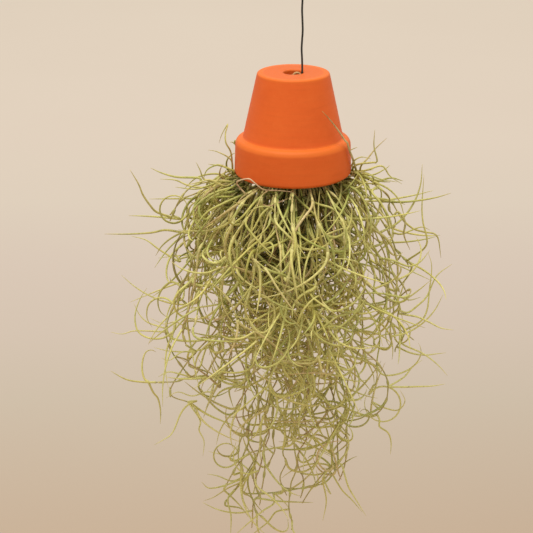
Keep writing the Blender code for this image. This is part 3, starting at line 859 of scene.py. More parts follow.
neck_skin = twist(neck_line(), TWINE_R * 0.97, seed=4, fuzz=70)
knot_c = np.array([POT_X + RING_R * math.cos(3.9), RING_R * math.sin(3.9), NECK_Z])
knot_out = unit(np.array([math.cos(3.9), math.sin(3.9), 0.0]))
knot_side = np.array([-knot_out[1], knot_out[0], 0.0])
knot = []
for k in range(25):
    a = 2 * math.pi * k / 24
    knot.append(knot_c + knot_out * (1.3 + 0.8 * math.sin(3 * a)) + knot_side * (math.sin(a) + 2 * math.sin(2 * a)) * 0.62
                + np.array([0, 0, (math.cos(a) - 2 * math.cos(2 * a)) * 0.62]))
twist(np.array(knot), TWINE_R * 0.9, seed=5, skin=neck_skin, fuzz=16)
for sgn in (-1, 1):
    tail = np.array([knot_c + knot_out * 1.6, knot_c + knot_out * 2.6 + knot_side * 1.6 * sgn,
                     knot_c + knot_out * 2.8 + knot_side * 3.0 * sgn + np.array([0, 0, -2.2]),
                     knot_c + knot_out * 3.2 + knot_side * 3.6 * sgn + np.array([0, 0, -5.6])])
    twist(tail, TWINE_R * 0.88, seed=6 + sgn, skin=neck_skin, fuzz=14)
neck = neck_skin.object("neck_binding_twine", twine_mat)


# ------------------------------------------------------------------ the moss
# how wide the bunch is at each height: (picture row, left edge, right edge)
OUTLINE = [(168, 206, 378), (190, 205, 382), (215, 188, 396), (230, 178, 404), (280, 168, 412), (330, 146, 416),
           (370, 152, 408), (400, 182, 394), (430, 198, 352), (460, 220, 350), (500, 226, 330), (545, 230, 300)]


def outline_table():
    rows = []
    for v, left, right in OUTLINE:
        a, b = from_px(left, v, 0.0), from_px(right, v, 0.0)
        rows.append((a[2], POT_X - a[0], b[0] - POT_X))
    return np.array(rows)[::-1]


EDGE = outline_table()


def beyond(p):
    """How far points lie outside the bunch's own outline, all round."""
    x, y = p[..., 0] - POT_X, p[..., 1]
    r = np.hypot(x, y) + 1e-9
    left = np.interp(p[..., 2], EDGE[:, 0], EDGE[:, 1])
    right = np.interp(p[..., 2], EDGE[:, 0], EDGE[:, 2])
    return r - (left + (right - left) * 0.5 * (1 + x / r))


def hits_pot(p):
    z = p[..., 2]
    r = np.hypot(p[..., 0] - POT_X, p[..., 1])
    outer = np.where(z < BASE_Z - POT_H + BAND_H + 0.8, RIM_R + 0.9,
                     np.interp(z, [-108.0, -65.0], [CONE_R + 0.9, BASE_R + 0.9]))
    hit = (z > BASE_Z - POT_H - 0.9) & (z < BASE_Z + 0.8) & (r > pot_wall_inside(z) - 1.0) & (r < outer)
    return hit.any(axis=-1)


def grow(rng, start, heading, size, turn, m, droop, late, first=None):
    """Leaf lines: each sets off along first, swings to heading and curls by turn radians in all."""
    n = len(start)
    axis = torsion = None
    d = unit(heading)
    axis = rng.normal(size=(n, 3)) if axis is None else axis
    axis = unit(axis - (axis * d).sum(-1, keepdims=True) * d)
    torsion = rng.normal(0, 0.9, n) if torsion is None else torsion
    out = np.empty((n, m, 3))
    out[:, 0] = start
    p = start.copy()
    for k in range(1, m):
        t = (k - 0.5) / (m - 1)
        rate = (turn / (m - 1) * (1 - late + 2 * late * t))[:, None]
        d = d * np.cos(rate) + np.cross(axis, d) * np.sin(rate)
        d[:, 2] -= droop / (m - 1)
        d = unit(d)
        axis = axis + np.cross(d, axis) * (torsion / (m - 1))[:, None]
        axis = unit(axis - (axis * d).sum(-1, keepdims=True) * d)
        step = d
        if first is not None and t < 0.24:
            w = smooth_step(np.array(t / 0.24))
            step = unit(unit(first) * (1 - w) + d * w)
        p = p + step * (size / (m - 1))[:, None]
        out[:, k] = p
    return out


LEAF_M, LEAF_SIDES = 24, 7


def leaf_radius(m, r0):
    t = np.linspace(0, 1, m)[None]
    return r0[:, None] * ((1 - 0.22 * t) * (1 - 0.84 * t ** 4) + 0.26 * np.exp(-(t / 0.06) ** 2))


# how full the bunch is at each height, from its left side to its right
FULL_V = [205, 220, 260, 300, 340, 380, 420, 460, 500]
FULL_U = [180, 220, 260, 300, 340, 380, 420]
FULL = [[1.0, 0.50, 0.56, 0.56, 0.50, 0.15, 0.14],
        [0.58, 0.30, 0.48, 0.46, 0.36, 0.06, 0.09],
        [0.16, 0.26, 0.42, 0.52, 0.35, 0.03, 0.04],
        [0.19, 0.26, 0.60, 0.66, 0.42, 0.14, 0.05],
        [0.05, 0.20, 0.68, 0.68, 0.38, 0.46, 0.06],
        [0.08, 0.28, 0.18, 0.78, 0.34, 0.22, 0.50],
        [0.50, 0.34, 0.06, 1.0, 0.56, 0.55, 0.36],
        [0.45, 0.14, 0.28, 0.56, 0.20, 0.30, 0.10],
        [0.26, 0.14, 0.16, 0.0, 0.52, 0.26, 0.05]]


def fullness(p):
    seen = to_px(p)
    u = np.interp(seen[..., 0], FULL_U, np.arange(len(FULL_U)))
    v = np.interp(seen[..., 1], FULL_V, np.arange(len(FULL_V)))
    table = np.array(FULL)
    i, j = np.minimum(v.astype(int), len(FULL_V) - 2), np.minimum(u.astype(int), len(FULL_U) - 2)
    a, b = v - i, u - j
    return ((table[i, j] * (1 - b) + table[i, j + 1] * b) * (1 - a)
            + (table[i + 1, j] * (1 - b) + table[i + 1, j + 1] * b) * a)


class Strand:
    """One strand of the bunch: its stems, sheaths and leaves."""

    def __init__(self, index, ring, rng):
        self.index, self.ring, self.rng = index, ring, rng
        self.stems, self.leaves, self.sheaths = [], [], []

    def stem(self, path, r0, r1, brown):
        self.stems.append((path, r0, r1, brown))

    def add_leaves(self, lines, r0, brown, light):
        for k in range(len(lines)):
            self.leaves.append((lines[k], r0[k], brown[k], light[k]))


def leaf_batch(rng, strand, at, along, tip, scale=1.0):
    """Leaves from one node: how many and how they stand depends on where it is."""
    n = int(rng.choice([4, 5, 6]) if tip else rng.choice([2, 3, 4, 5]))
    high = float(np.clip((at[2] + 182) / 46, 0, 1))
    radial = np.array([at[0] - POT_X, at[1], 0.0])
    radial = radial / (np.linalg.norm(radial) + 1e-9)
    around = np.array([-radial[1], radial[0], 0.0])
    left = n
    for attempt in range(4):
        k = left
        if k <= 0:
            break
        perp = rng.normal(size=(k, 3)) + 0.5 * radial
        perp = unit(perp - (perp @ along)[:, None] * along)
        open_angle = rng.uniform(math.radians(24), math.radians(96), k)
        head = along * np.cos(open_angle)[:, None] + perp * np.sin(open_angle)[:, None]
        head[:, 2] += 0.30 * rng.random(k) * (1 - high)
        rise = rng.uniform(math.radians(-58), math.radians(24), k)
        out = (radial[None] * np.cos(rise)[:, None] + around[None] * rng.normal(0, 0.75, k)[:, None]
               + np.array([[0, 0, 1.0]]) * np.sin(rise)[:, None])
        pick = (rng.random(k) < 0.72 * high)[:, None]
        head = np.where(pick, unit(out), head)
        size = rng.uniform(28, 58, k) * scale * (1 + 0.24 * high)
        turn = np.clip(np.exp(rng.normal(0.45, 0.55, k)), 0.35, 5.0) * rng.choice([-1, 1], k)
        turn = turn * (1 - 0.25 * high)
        size = np.maximum(size, np.abs(turn) * 8.0)
        droop = rng.normal(0.15 + 0.35 * high, 0.40, k)
        late = rng.uniform(-0.35, 0.75, k)
        lines = grow(rng, np.repeat(at[None], k, 0), head, size, turn, LEAF_M, droop, late,
                     along[None] + 0.45 * unit(head))
        over = beyond(lines).max(axis=1)
        seen = to_px(lines)
        front = ((seen[..., 0] > 237) & (seen[..., 0] < 348) & (seen[..., 1] < 181) & (lines[..., 1] < 0)).any(axis=1)
        allow = np.minimum(rng.exponential(4.5, k) + 1.0, 17.0)
        good = (over < allow) & ~hits_pot(lines) & (lines[..., 2].min(1) > -404) & ~front
        good &= lines[..., 2].max(1) < -119
        lines = lines[good]
        left = k - len(lines)
        if len(lines):
            lines = lines[rng.random(len(lines)) < fullness(lines[:, int(LEAF_M * 0.6)]) / 1.3]
        c = len(lines)
        if c:
            dull = np.where(rng.random(c) < 0.22, rng.uniform(0.3, 0.95, c), rng.uniform(0.0, 0.26, c))
            strand.add_leaves(lines, rng.uniform(0.62, 0.86, c), dull,
                              np.clip(rng.normal(0.55, 0.26, c), 0.0, 1.0))


def dress(rng, strand, path, gap, first=0.0, scale=1.0, shoots=0.0):
    """Nodes with leaves along a stem, and side shoots from some of them."""
    seg = np.linalg.norm(np.diff(path, axis=0), axis=1)
    s = np.concatenate([[0], np.cumsum(seg)])
    tangent = unit(np.gradient(path, axis=0))
    where = first + rng.uniform(0, gap[1] * 0.6)
    while where < s[-1] - 4:
        k = int(np.searchsorted(s, where))
        at, along = path[k], tangent[k]
        if at[2] < -134.5:
            leaf_batch(rng, strand, at, along, False, scale)
            strand.sheaths.append((at, along, rng.uniform(5.5, 9.0), rng.uniform(0.80, 1.0)))
            if shoots and at[2] < -150 and rng.random() < shoots:
                side_shoot(rng, strand, at, along)
        elif at[2] < -112 and rng.random() < 0.6:
            leaf_batch(rng, strand, at, along, False, 0.75)
        where += rng.uniform(*gap)
    leaf_batch(rng, strand, path[-1], tangent[-1], True, scale)


def side_shoot(rng, strand, at, along):
    for attempt in range(6):
        radial = unit(np.array([at[0] - POT_X, at[1], 0.0]))
        head = unit(rng.normal(size=3) + 0.5 * radial) + 0.5 * along
        line = grow(rng, at[None], head[None], np.array([rng.uniform(28, 62)]), np.array([rng.uniform(0.5, 2.2)]),
                    36, np.array([rng.uniform(0.3, 1.2)]), np.array([0.2]))
        if beyond(line).max() < 4 and not hits_pot(line)[0] and line[0, :, 2].min() > -392:
            path = line[0]
            strand.stem(path, 0.52, 0.40, rng.uniform(0.1, 0.6))
            dress(rng, strand, path, (13, 20), first=9, scale=0.92)
            return


def wander(rng, seg, amp, start_free):
    """A path that follows seg and strays from it smoothly once it is free of the pot."""
    s = np.concatenate([[0], np.cumsum(np.linalg.norm(np.diff(seg, axis=0), axis=1))])
    side, other = ring_frames(seg[None])
    side, other = side[0], other[0]
    angle = rng.uniform(0, 2 * math.pi) + rng.choice([-1, 1]) * rng.uniform(0.003, 0.014) * s
    off = amp * smooth_step((s - start_free) / 75.0)[:, None] * (np.cos(angle)[:, None] * side
                                                                + np.sin(angle)[:, None] * other)
    free = smooth_step((-seg[:, 2] - 136) / 45)[:, None]
    for lam, size in ((88, 4.2), (50, 3.4), (29, 1.6)):
        f1, f2 = rng.random(2)
        off = off + free * size * (rng.normal() * np.sin(2 * math.pi * (s / lam + f1))[:, None] * side
                                   + rng.normal() * np.sin(2 * math.pi * (s / lam + f2))[:, None] * other)
    return seg + off


def keep_inside(path):
    """Holds the part of a path that is still in the pot off the wall and the rim."""
    r = np.hypot(path[:, 0] - POT_X, path[:, 1]) + 1e-9
    z = path[:, 2]
    limit = np.where(z > -133.6, pot_wall_inside(z) - 1.6, 1e9)
    k = np.minimum(1.0, limit / r)
    out = path.copy()
    out[:, 0] = POT_X + (path[:, 0] - POT_X) * k
    out[:, 1] = path[:, 1] * k
    return out


def build_strands():
    places, stems, big_leaves = strands()
    made = []
    for i, (ring, nx, ny) in enumerate(places):
        rng = np.random.default_rng(SEED + 1000 + i)
        strand = Strand(i, ring, rng)
        main = catmull(stems[i], 130)
        s = np.linspace(0, length_of(main), 130)
        loose = 2.3 * smooth_step((-main[:, 2] - 150) / 60)[:, None]
        stray = sum(np.sin(2 * math.pi * (s / lam + rng.random()))[:, None] * unit(rng.normal(size=3)) * size
                    for lam, size in ((47, 1.0), (34, 0.75), (23, 0.4))) * loose
        smooth, main = main, main + stray
        strand.stem(main, 0.72, 0.44, rng.uniform(0.15, 0.7))
        for leaf in big_leaves[i]:
            line = catmull(leaf, LEAF_M)
            line = line + stray[int(np.linalg.norm(smooth - line[0], axis=1).argmin())]
            strand.add_leaves(line[None], np.array([0.62]), np.array([rng.uniform(0, 0.2)]),
                              np.array([rng.uniform(0.35, 0.9)]))
        first = float(np.interp(135.0, -main[:, 2], np.linspace(0, length_of(main), len(main))))
        dress(rng, strand, main, (17, 25), first=max(4.0, first - 20), shoots=0.10)
        for c in range(2):
            k0 = int(np.argmax(main[:, 2] < -93 - 14 * rng.random()))
            k1 = int(k0 + (len(main) - k0) * rng.uniform(0.4, 1.0))
            seg = main[k0:k1]
            path = keep_inside(wander(rng, seg, rng.uniform(5, 17), 10.0))
            if len(path) < 30 or rng.random() > 1.7 * fullness(path[len(path) // 2:]).mean():
                continue
            path = resample(path, 90)
            strand.stem(path, rng.uniform(0.50, 0.64), 0.42, rng.uniform(0.05, 0.8))
            dress(rng, strand, path, (16, 25), first=8, shoots=0.10)
        if ring == 3:
            for c in range(1 + (i % 2)):
                strand_skirt(rng, strand, main, nx, ny)
        made.append(strand)
    return made


def strand_skirt(rng, strand, main, nx, ny):
    """A shoot that leaves the pot low over the rim's edge, goes out and then hangs."""
    k0 = int(np.argmax(main[:, 2] < rng.uniform(-122, -114)))
    start = main[k0]
    a0 = math.atan2(start[1], start[0] - POT_X)
    r0 = math.hypot(start[0] - POT_X, start[1])
    for attempt in range(8):
        drift = rng.normal(0, 0.22)
        reach = rng.uniform(50, 74)
        z1 = rng.uniform(-149, -137)
        low = rng.uniform(-225, -172)
        line = [(r0, start[2]), (29.6, -131.6), (36.5, -135.0 - 1.0 * rng.random()),
                (0.5 * (37 + reach), z1), (reach, z1 - rng.uniform(8, 18)), (reach + rng.uniform(-4, 7), 0.5 * (z1 + low) - 6),
                (reach + rng.uniform(-10, 6), low)]
        pts = []
        for k, (r, z) in enumerate(line):
            a = a0 + drift * max(0, k - 1) / 5
            pts.append((POT_X + r * math.cos(a), r * math.sin(a), z))
        path = catmull(np.array(pts), 80)
        path = wander(rng, path, rng.uniform(1, 7), 45.0)
        body = path[6:]
        if beyond(body).max() < 6 and not hits_pot(body[None])[0]:
            if rng.random() > 2.6 * fullness(body[30:]).mean():
                return
            strand.stem(path, rng.uniform(0.52, 0.68), 0.44, rng.uniform(0.0, 0.6))
            dress(rng, strand, path, (13, 21), first=22, shoots=0.05)
            return


# shoots that fill the sides: picture places with their depths (mm)
SIDE_STEMS = [
    [(318, 330, -12), (332, 352, -14), (343, 378, -16), (345, 402, -14), (338, 425, -10), (333, 452, -8), (334, 470, -6)],
    [(326, 356, 12), (342, 382, 16), (352, 405, 18), (347, 430, 14), (336, 446, 10)],
    [(312, 380, 4), (326, 402, 2), (336, 420, 0), (350, 436, -2)],
    [(205, 250, -20), (190, 280, -22), (174, 305, -20), (166, 330, -18), (172, 352, -14), (186, 372, -8)],
    [(215, 330, 8), (196, 352, 12), (180, 372, 10), (172, 392, 4), (188, 404, 0)],
    [(370, 262, -10), (388, 285, -12), (398, 310, -8), (402, 335, 0), (396, 352, 6)],
    [(345, 330, -20), (366, 352, -22), (384, 372, -20), (388, 395, -14), (376, 415, -8)],
    [(248, 436, -5), (244, 456, -6), (241, 480, -6), (250, 500, -4), (262, 515, -2)],
    [(204, 372, -8), (187, 379, -12), (170, 382, -14), (150, 382, -16)],
    [(236, 182, -8), (214, 180, -10), (194, 186, -12), (178, 202, -12), (170, 222, -8)],
    [(236, 186, 8), (212, 188, 12), (188, 196, 16), (170, 214, 18)],
    [(346, 176, -6), (362, 172, -8), (378, 184, -10), (390, 204, -10), (394, 226, -6)],
    [(344, 182, 10), (366, 182, 12), (386, 194, 14), (400, 216, 14)],
]


def side_stems(made):
    rng = np.random.default_rng(SEED + 4000)
    for pts in SIDE_STEMS:
        line = np.array([from_px(u, v, y) for u, v, y in pts])
        near = [(np.linalg.norm(p[30:] - line[0], axis=1).min(), s.index, j)
                for s in made for j, (p, _, _, _) in enumerate(s.stems) if len(p) > 60]
        _, i, j = min(near)
        p = made[i].stems[j][0][30:]
        k = int(np.linalg.norm(p - line[0], axis=1).argmin())
        back = max(0, k - 12)
        path = catmull(np.vstack([p[back][None], line]), 90)
        if hits_pot(path[None])[0]:
            path = lift_off(path)
        path[1:] += 1.2 * np.sin(np.linspace(0, rng.uniform(14, 26), 89))[:, None] * rng.normal(size=3)
        made[i].stem(path, rng.uniform(0.54, 0.66), 0.42, rng.uniform(0.05, 0.5))
        dress(rng, made[i], path, (12, 19), first=12, shoots=0.12)


# leaves that stand clear of the bunch: picture places, which end is on the
# bunch, depth (mm) at the bunch and at the tip, and the leaf's radius
FREE_LEAVES = [
    ([(361, 178.5), (352, 157), (342.5, 137), (331, 121), (322, 111)], (-14, -25), 0.6, 0.76),
    ([(231, 153), (226, 143), (225.5, 133), (228, 124), (222, 134), (219, 143)], (-6, 4), 0.42, 0.1),
    ([(231, 160), (218, 152), (208, 150)], (-4, -10), 0.42, 0.2),
    ([(199, 178), (177, 177), (162, 173), (150.6, 168)], (-12, -2), 0.55, 0.1),
    ([(156.7, 212), (150.6, 206), (143, 195), (138.5, 184), (130, 169.7)], (-18, -28), 0.55, 0.3),
    ([(180, 219), (160, 217), (143, 216), (128.8, 215.7)], (-10, 8), 0.5, 0.1),
    ([(180, 232), (165, 230), (150.6, 232.7), (128, 234), (104.5, 234)], (-8, 6), 0.55, 0.25),
    ([(180, 262), (160, 250), (146, 240), (131, 236)], (10, 22), 0.5, 0.1),
    ([(356.6, 164.8), (372, 162.5), (377.2, 161.2), (374, 146), (374.8, 129.7)], (-8, -14), 0.5, 0.1),
    ([(361, 166), (368, 158), (376, 148), (386.9, 138)], (-4, 4), 0.48, 0.55),
    ([(372, 185), (390, 178), (403, 181)], (0, 8), 0.5, 0.1),
    ([(381, 201.5), (402, 202), (422, 200), (438, 197), (451, 193)], (-6, -16), 0.58, 0.1),
    ([(426.4, 245), (423, 222), (422, 206), (424, 174.5)], (4, 16), 0.5, 0.15),
    ([(405, 222), (414, 229), (424, 232), (437, 236), (441, 258)], (8, 14), 0.48, 0.2),
    ([(420, 322), (427, 310), (429.3, 291), (431.7, 266.6), (428, 252)], (-12, -4), 0.5, 0.1),
    ([(407.5, 312.6), (417, 306), (427, 296), (436.6, 276), (452, 264)], (-8, 10), 0.55, 0.1),
    ([(407.5, 315), (418, 317), (429, 322), (441, 328), (453.5, 330)], (-8, -20), 0.58, 0.15),
    ([(175, 332), (162.7, 338), (149, 338), (138.5, 332), (135, 321), (136, 310), (141, 297), (147, 288)], (-16, 0), 0.58, 0.1),
    ([(158, 326), (147, 322), (139, 314), (133.6, 303)], (2, 10), 0.5, 0.15),
    ([(150, 331), (133.6, 331), (122, 334), (110.6, 332)], (4, 18), 0.5, 0.2),
    ([(158, 384), (142, 382), (126.4, 379.4), (110.6, 371)], (-16, -26), 0.55, 0.15),
    ([(148, 382), (144.0, 378), (142.0, 368), (143.3, 357.5), (146.5, 351.5), (151.5, 350), (156, 352)], (-14, -6), 0.58, 0.2),
    ([(148, 383), (153, 392), (158, 398.7), (160.5, 411), (160.3, 424)], (-14, -10), 0.58, 0.2),
    ([(329, 464), (341, 459), (348, 449), (348, 437), (343, 430)], (-6, -10), 0.55, 0.15),
    ([(175, 303), (165, 298), (155, 299), (148, 306), (147, 318), (152, 327)], (-12, -4), 0.55, 0.15),
    ([(172, 282), (163, 288), (158, 299), (160, 311), (168, 318)], (-4, 4), 0.55, 0.1),
    ([(196.6, 401), (189, 404), (181, 413), (172.4, 432.7), (163, 440), (154, 445)], (-12, -24), 0.58, 0.1),
    ([(195, 380), (180, 374), (168, 372), (158, 377)], (6, 12), 0.5, 0.1),
    ([(200, 420), (199, 430), (204, 441), (203, 456)], (-20, -24), 0.5, 0.1),
    ([(245, 481), (223, 486), (209, 488), (201.5, 482)], (-8, -20), 0.55, 0.1),
    ([(246, 478), (232, 481), (218, 476), (207, 474)], (-4, 8), 0.5, 0.2),
    ([(241, 484), (228, 488), (214, 497), (203, 501)], (4, 14), 0.45, 0.4),
    ([(235.4, 488), (229, 496), (228, 503), (231, 516), (230.6, 536)], (-6, -2), 0.55, 0.1),
    ([(274, 503), (264, 510), (254.8, 517.5), (245, 526), (234, 536)], (-8, -14), 0.55, 0.1),
    ([(276, 512), (268, 522), (258, 530), (246, 540)], (2, 6), 0.55, 0.1),
    ([(257, 500.5), (277, 501), (296, 502), (313, 502.5)], (-6, 6), 0.58, 0.1),
    ([(331, 465), (341, 464), (345, 476), (349, 488), (358, 503), (366, 516)], (-6, -16), 0.55, 0.15),
    ([(332, 474), (342, 490), (352, 500), (362, 512)], (-2, 8), 0.52, 0.1),
    ([(329, 468), (324, 476), (322.7, 481), (326.3, 500.6), (322.7, 521)], (-4, 4), 0.52, 0.1),
    ([(390.5, 386.6), (404, 387), (417, 386.6), (432, 386), (445, 384)], (-10, -20), 0.55, 0.1),
    ([(393, 386.6), (404, 377), (412.4, 367), (422, 360)], (-6, 8), 0.55, 0.1),
    ([(398, 348), (411, 353), (424.5, 355), (435, 354), (446, 352.7)], (-4, 10), 0.52, 0.1),
    ([(404, 345), (420, 352), (429, 357.5), (439, 366), (447.5, 375.7)], (-8, -14), 0.52, 0.15),
    ([(379.6, 420), (379.6, 426.6), (388, 432.7), (391, 442), (390.5, 454.5)], (-10, -6), 0.55, 0.1),
    ([(372, 402), (385, 408), (398, 410), (405, 401), (400, 390)], (-10, -2), 0.5, 0.2),
    ([(378, 262), (392, 260), (408, 266), (420, 262), (430, 250)], (-24, -12), 0.55, 0.1),
    ([(384, 300), (396, 296), (409, 300), (421, 297)], (10, 26), 0.5, 0.2),
    ([(190, 330), (176, 322), (164, 324), (150, 318)], (14, 26), 0.5, 0.15),
    ([(196, 352), (182, 352), (170, 360), (161, 358)], (-30, -36), 0.52, 0.1),
    ([(206, 392), (192, 396), (178, 392), (166, 398)], (-14, -10), 0.5, 0.15),
]
FREE_LEAVES += [
    ([(240, 178), (235, 172), (226, 167.5), (217, 165), (207, 170), (203, 180)], (-10, -6), 0.52, 0.1),
    ([(232, 184), (216, 181), (204, 179), (200, 170), (196, 162)], (-12, -16), 0.5, 0.15),
    ([(238, 174), (230, 169), (221, 166), (208, 164)], (2, 8), 0.45, 0.15),
    ([(236, 184), (225, 186), (210, 180), (200, 182), (186, 185)], (-16, -22), 0.52, 0.3),
    ([(236, 178), (225, 179), (210, 185), (195, 189), (175, 187)], (-4, 4), 0.52, 0.1),
    ([(206, 184), (196, 187), (187, 185), (175, 180), (160, 179)], (8, 14), 0.46, 0.2),
    ([(238, 182), (222, 175), (210, 174), (196, 178), (184, 189)], (10, 18), 0.52, 0.2),
    ([(349, 172), (352, 165), (355, 160), (362, 157), (371, 159)], (-10, -14), 0.5, 0.15),
    ([(352, 174), (367, 170), (382, 166), (390, 176), (402, 184)], (-4, 2), 0.5, 0.15),
    ([(354, 178), (372, 175), (385, 169), (390, 165)], (6, 12), 0.46, 0.1),
    ([(352, 178), (366, 174), (380, 179), (397, 182)], (-12, -18), 0.5, 0.1),
    ([(360, 178), (375, 182), (390, 190), (400, 202), (405, 220)], (-14, -16), 0.56, 0.1),
    ([(372, 192), (380, 202), (390, 220), (392, 235), (385, 239)], (-22, -26), 0.6, 0.1),
    ([(398, 212), (405, 222), (404, 235), (410, 250)], (-8, -12), 0.55, 0.6),
    ([(402, 234), (412, 230), (422, 227), (430, 230)], (2, 6), 0.45, 0.15),
    ([(386, 312), (394, 306), (400, 295), (405, 280)], (-16, -20), 0.6, 0.15),
]
# small closed loops: picture centre, radius, where it joins (degrees), depth
LOOPS = [((173.6, 209.6), 13.3, -20, -22, 0.5), ((225.7, 455.7), 11.6, -28, -8, 0.5), ((383, 403.6), 17.0, 150, -6, 0.55)]
# long leaves that bow across the front under the rim
FRONT = [
    ([(263, 200), (265, 219), (273.7, 235), (286, 252), (297, 257), (311.5, 256), (321, 243)], (-38, -52), 0.62, 0.05),
    ([(292, 200), (290, 221), (289, 238), (297, 250), (306, 244), (309, 221)], (-40, -50), 0.55, 0.1),
    ([(259, 196), (260, 215), (264.5, 236), (266.5, 252), (281, 261), (293, 263)], (-40, -56), 0.6, 0.3),
    ([(325, 188), (331, 200), (337, 207), (352, 221), (358, 234), (362, 247)], (-34, -44), 0.62, 0.05),
    ([(325.7, 191), (325.7, 221), (332, 242), (334, 257), (327, 271), (319.6, 273.5)], (-36, -56), 0.6, 0.1),
    ([(290, 192), (302, 203), (311, 211), (319.6, 221), (325, 236)], (-38, -46), 0.58, 0.1),
    ([(343, 180), (341, 192), (338, 203), (332, 211), (320, 222)], (-26, -44), 0.64, 0.3),
    ([(283, 191), (272, 205), (262, 214), (252, 231), (240, 243)], (-36, -50), 0.62, 0.1),
    ([(270, 191), (256, 201), (243, 216), (228, 229), (222, 246)], (-32, -50), 0.62, 0.05),
    ([(300, 196), (318, 204), (333, 209), (345, 222), (352, 240)], (-38, -44), 0.56, 0.2),
    ([(252, 187), (238, 197), (222, 204), (205, 214), (192, 233)], (-28, -34), 0.6, 0.1),
    ([(246, 184), (230, 188), (212, 194), (196, 206), (184, 224)], (-20, -20), 0.6, 0.1),
    ([(344, 182), (356, 190), (366, 205), (371, 226), (368, 248)], (-22, -30), 0.6, 0.1),
    ([(346, 178), (360, 182), (374, 195), (386, 214), (391, 238)], (-16, -18), 0.6, 0.15),
    ([(310, 192), (305, 210), (297, 226), (296, 246), (303, 262)], (-38, -60), 0.56, 0.35),
]
ROOTS = [
    ([(237, 184, -28), (239.7, 180.5, -33.5), (248.6, 178.8, -38.6), (253, 181.5, -39.6), (257.5, 185.4, -39.8), (264.4, 189.9, -39.6),
      (277, 190.5, -39.4), (291, 192.0, -39.0), (295, 194.5, -37.5), (299, 198, -36)], 0.50),
    ([(262, 204, -36), (270, 206, -41), (280, 202, -43), (289, 198, -38)], 0.42),
]


def free_leaves(made):
    """Leaves at set places, each grown from the nearest stem of the bunch."""
    rng = np.random.default_rng(SEED + 5000)
    where, owner = [], []
    for strand in made:
        for path, r0, r1, brown in strand.stems:
            keep = path[path[:, 2] < -134.5][::2]
            where.append(keep)
            owner.append(np.full(len(keep), strand.index))
    where, owner = np.concatenate(where), np.concatenate(owner)
    seen = to_px(where)
    jobs = [(pts, depth, r, b, False) for pts, depth, r, b in FREE_LEAVES]
    jobs += [(pts, depth, r, b, True) for pts, depth, r, b in FRONT]
    for (cx, cy), r, a0, depth, thick in LOOPS:
        pts = [(cx + r * (1 + 0.10 * k / 11) * math.cos(math.radians(-a0 + 372 * k / 11)),
                cy + r * (1 + 0.10 * k / 11) * math.sin(math.radians(-a0 + 372 * k / 11))) for k in range(12)]
        jobs.append((pts, (depth, depth - 5.0), thick, 0.15, False))
    for pts, (d0, d1), thick, brown, front in jobs:
        gap = np.hypot(seen[:, 0] - pts[0][0], seen[:, 1] - pts[0][1])
        cost = gap + 0.35 * np.abs(where[:, 1] - d0)
        k = int(cost.argmin())
        root = where[k]
        line = [root]
        n = len(pts)
        lead = 1 if gap[k] > 5 else 0
        for j, (u, v) in enumerate(pts):
            if j == 0 and not lead:
                continue
            share = (j + lead) / (n - 1 + lead)
            blend = smooth_step(np.array(share * 1.6))
            y = (1 - blend) * (root[1] + (d0 - root[1]) * smooth_step(np.array(share * 3))) + blend * (d0 + (d1 - d0) * share)
            line.append(from_px(u, v, float(y)))
        path = catmull(np.array(line), LEAF_M + 6)
        if hits_pot(path[None])[0]:
            path = lift_off(path)
        made[owner[k]].leaves.append((path, 1.2 * thick, brown, rng.uniform(0.35, 0.75)))
    # leaves hanging from under the front of the rim, with a low light value: painted shade under the pot
    for k in range(54):
        u, v = rng.uniform(286, 347), rng.uniform(187, 193)
        drift, drop = rng.normal(0, 7), rng.uniform(16, 34)
        pts = [(u + drift * q ** 1.6 + rng.normal(0, 0.8), v + drop * q) for q in (0.0, 0.3, 0.65, 1.0)]
        depth = rng.uniform(-8, 24)
        line = np.array([from_px(a, b, float(depth + 8 * q)) for (a, b), q in zip(pts, (0.0, 0.3, 0.65, 1.0))])
        near = np.linalg.norm(where - (line[0] + np.array([0, 0, 4.0])), axis=1)
        j = int(near.argmin())
        path = catmull(np.vstack([where[j][None], line]), LEAF_M)
        if not hits_pot(path[None])[0]:
            made[owner[j]].leaves.append((path, rng.uniform(0.7, 0.95), rng.uniform(0.0, 0.4), rng.uniform(0.1, 0.4)))
    for pts, thick in ROOTS:
        line = np.array([from_px(u, v, y) for u, v, y in pts])
        k = int(np.linalg.norm(where - line[0], axis=1).argmin())
        line = np.vstack([where[k][None], line])
        path = catmull(line, 44)
        if hits_pot(path[None])[0]:
            path = lift_off(path, 0.6)
        made[owner[k]].leaves.append((path, thick, 2.0, 0.9))


def lift_off(path, clear=1.0):
    """Moves the points of a path that are in the pot's wall out to its surface."""
    z = path[:, 2]
    r = np.hypot(path[:, 0] - POT_X, path[:, 1]) + 1e-9
    outer = np.where(z < BASE_Z - POT_H + BAND_H + 0.8, RIM_R, np.interp(z, [-108.0, -65.0], [CONE_R, BASE_R]))
    hit = (z > BASE_Z - POT_H - 0.5) & (z < BASE_Z + 0.8) & (r > pot_wall_inside(z) - 1.0) & (r < outer + clear)
    k = np.where(hit, (outer + clear) / r, 1.0)
    k = np.convolve(np.pad(k, 1, mode="edge"), [0.25, 0.5, 0.25], mode="valid")
    k = np.where(hit, np.maximum(k, (outer + clear) / r), k)
    out = path.copy()
    out[:, 0] = POT_X + (path[:, 0] - POT_X) * k
    out[:, 1] = path[:, 1] * k
    return out


def stem_tint(rng, m, brown):
    t = np.zeros((m, 4))
    t[:, 0] = np.clip(brown + 0.15 * np.sin(np.linspace(0, 14, m) + rng.uniform(0, 6)), 0, 1)
    t[:, 1] = rng.uniform(0.2, 0.7)
    t[:, 2] = 0.4
    t[:, 3] = 1
    return t


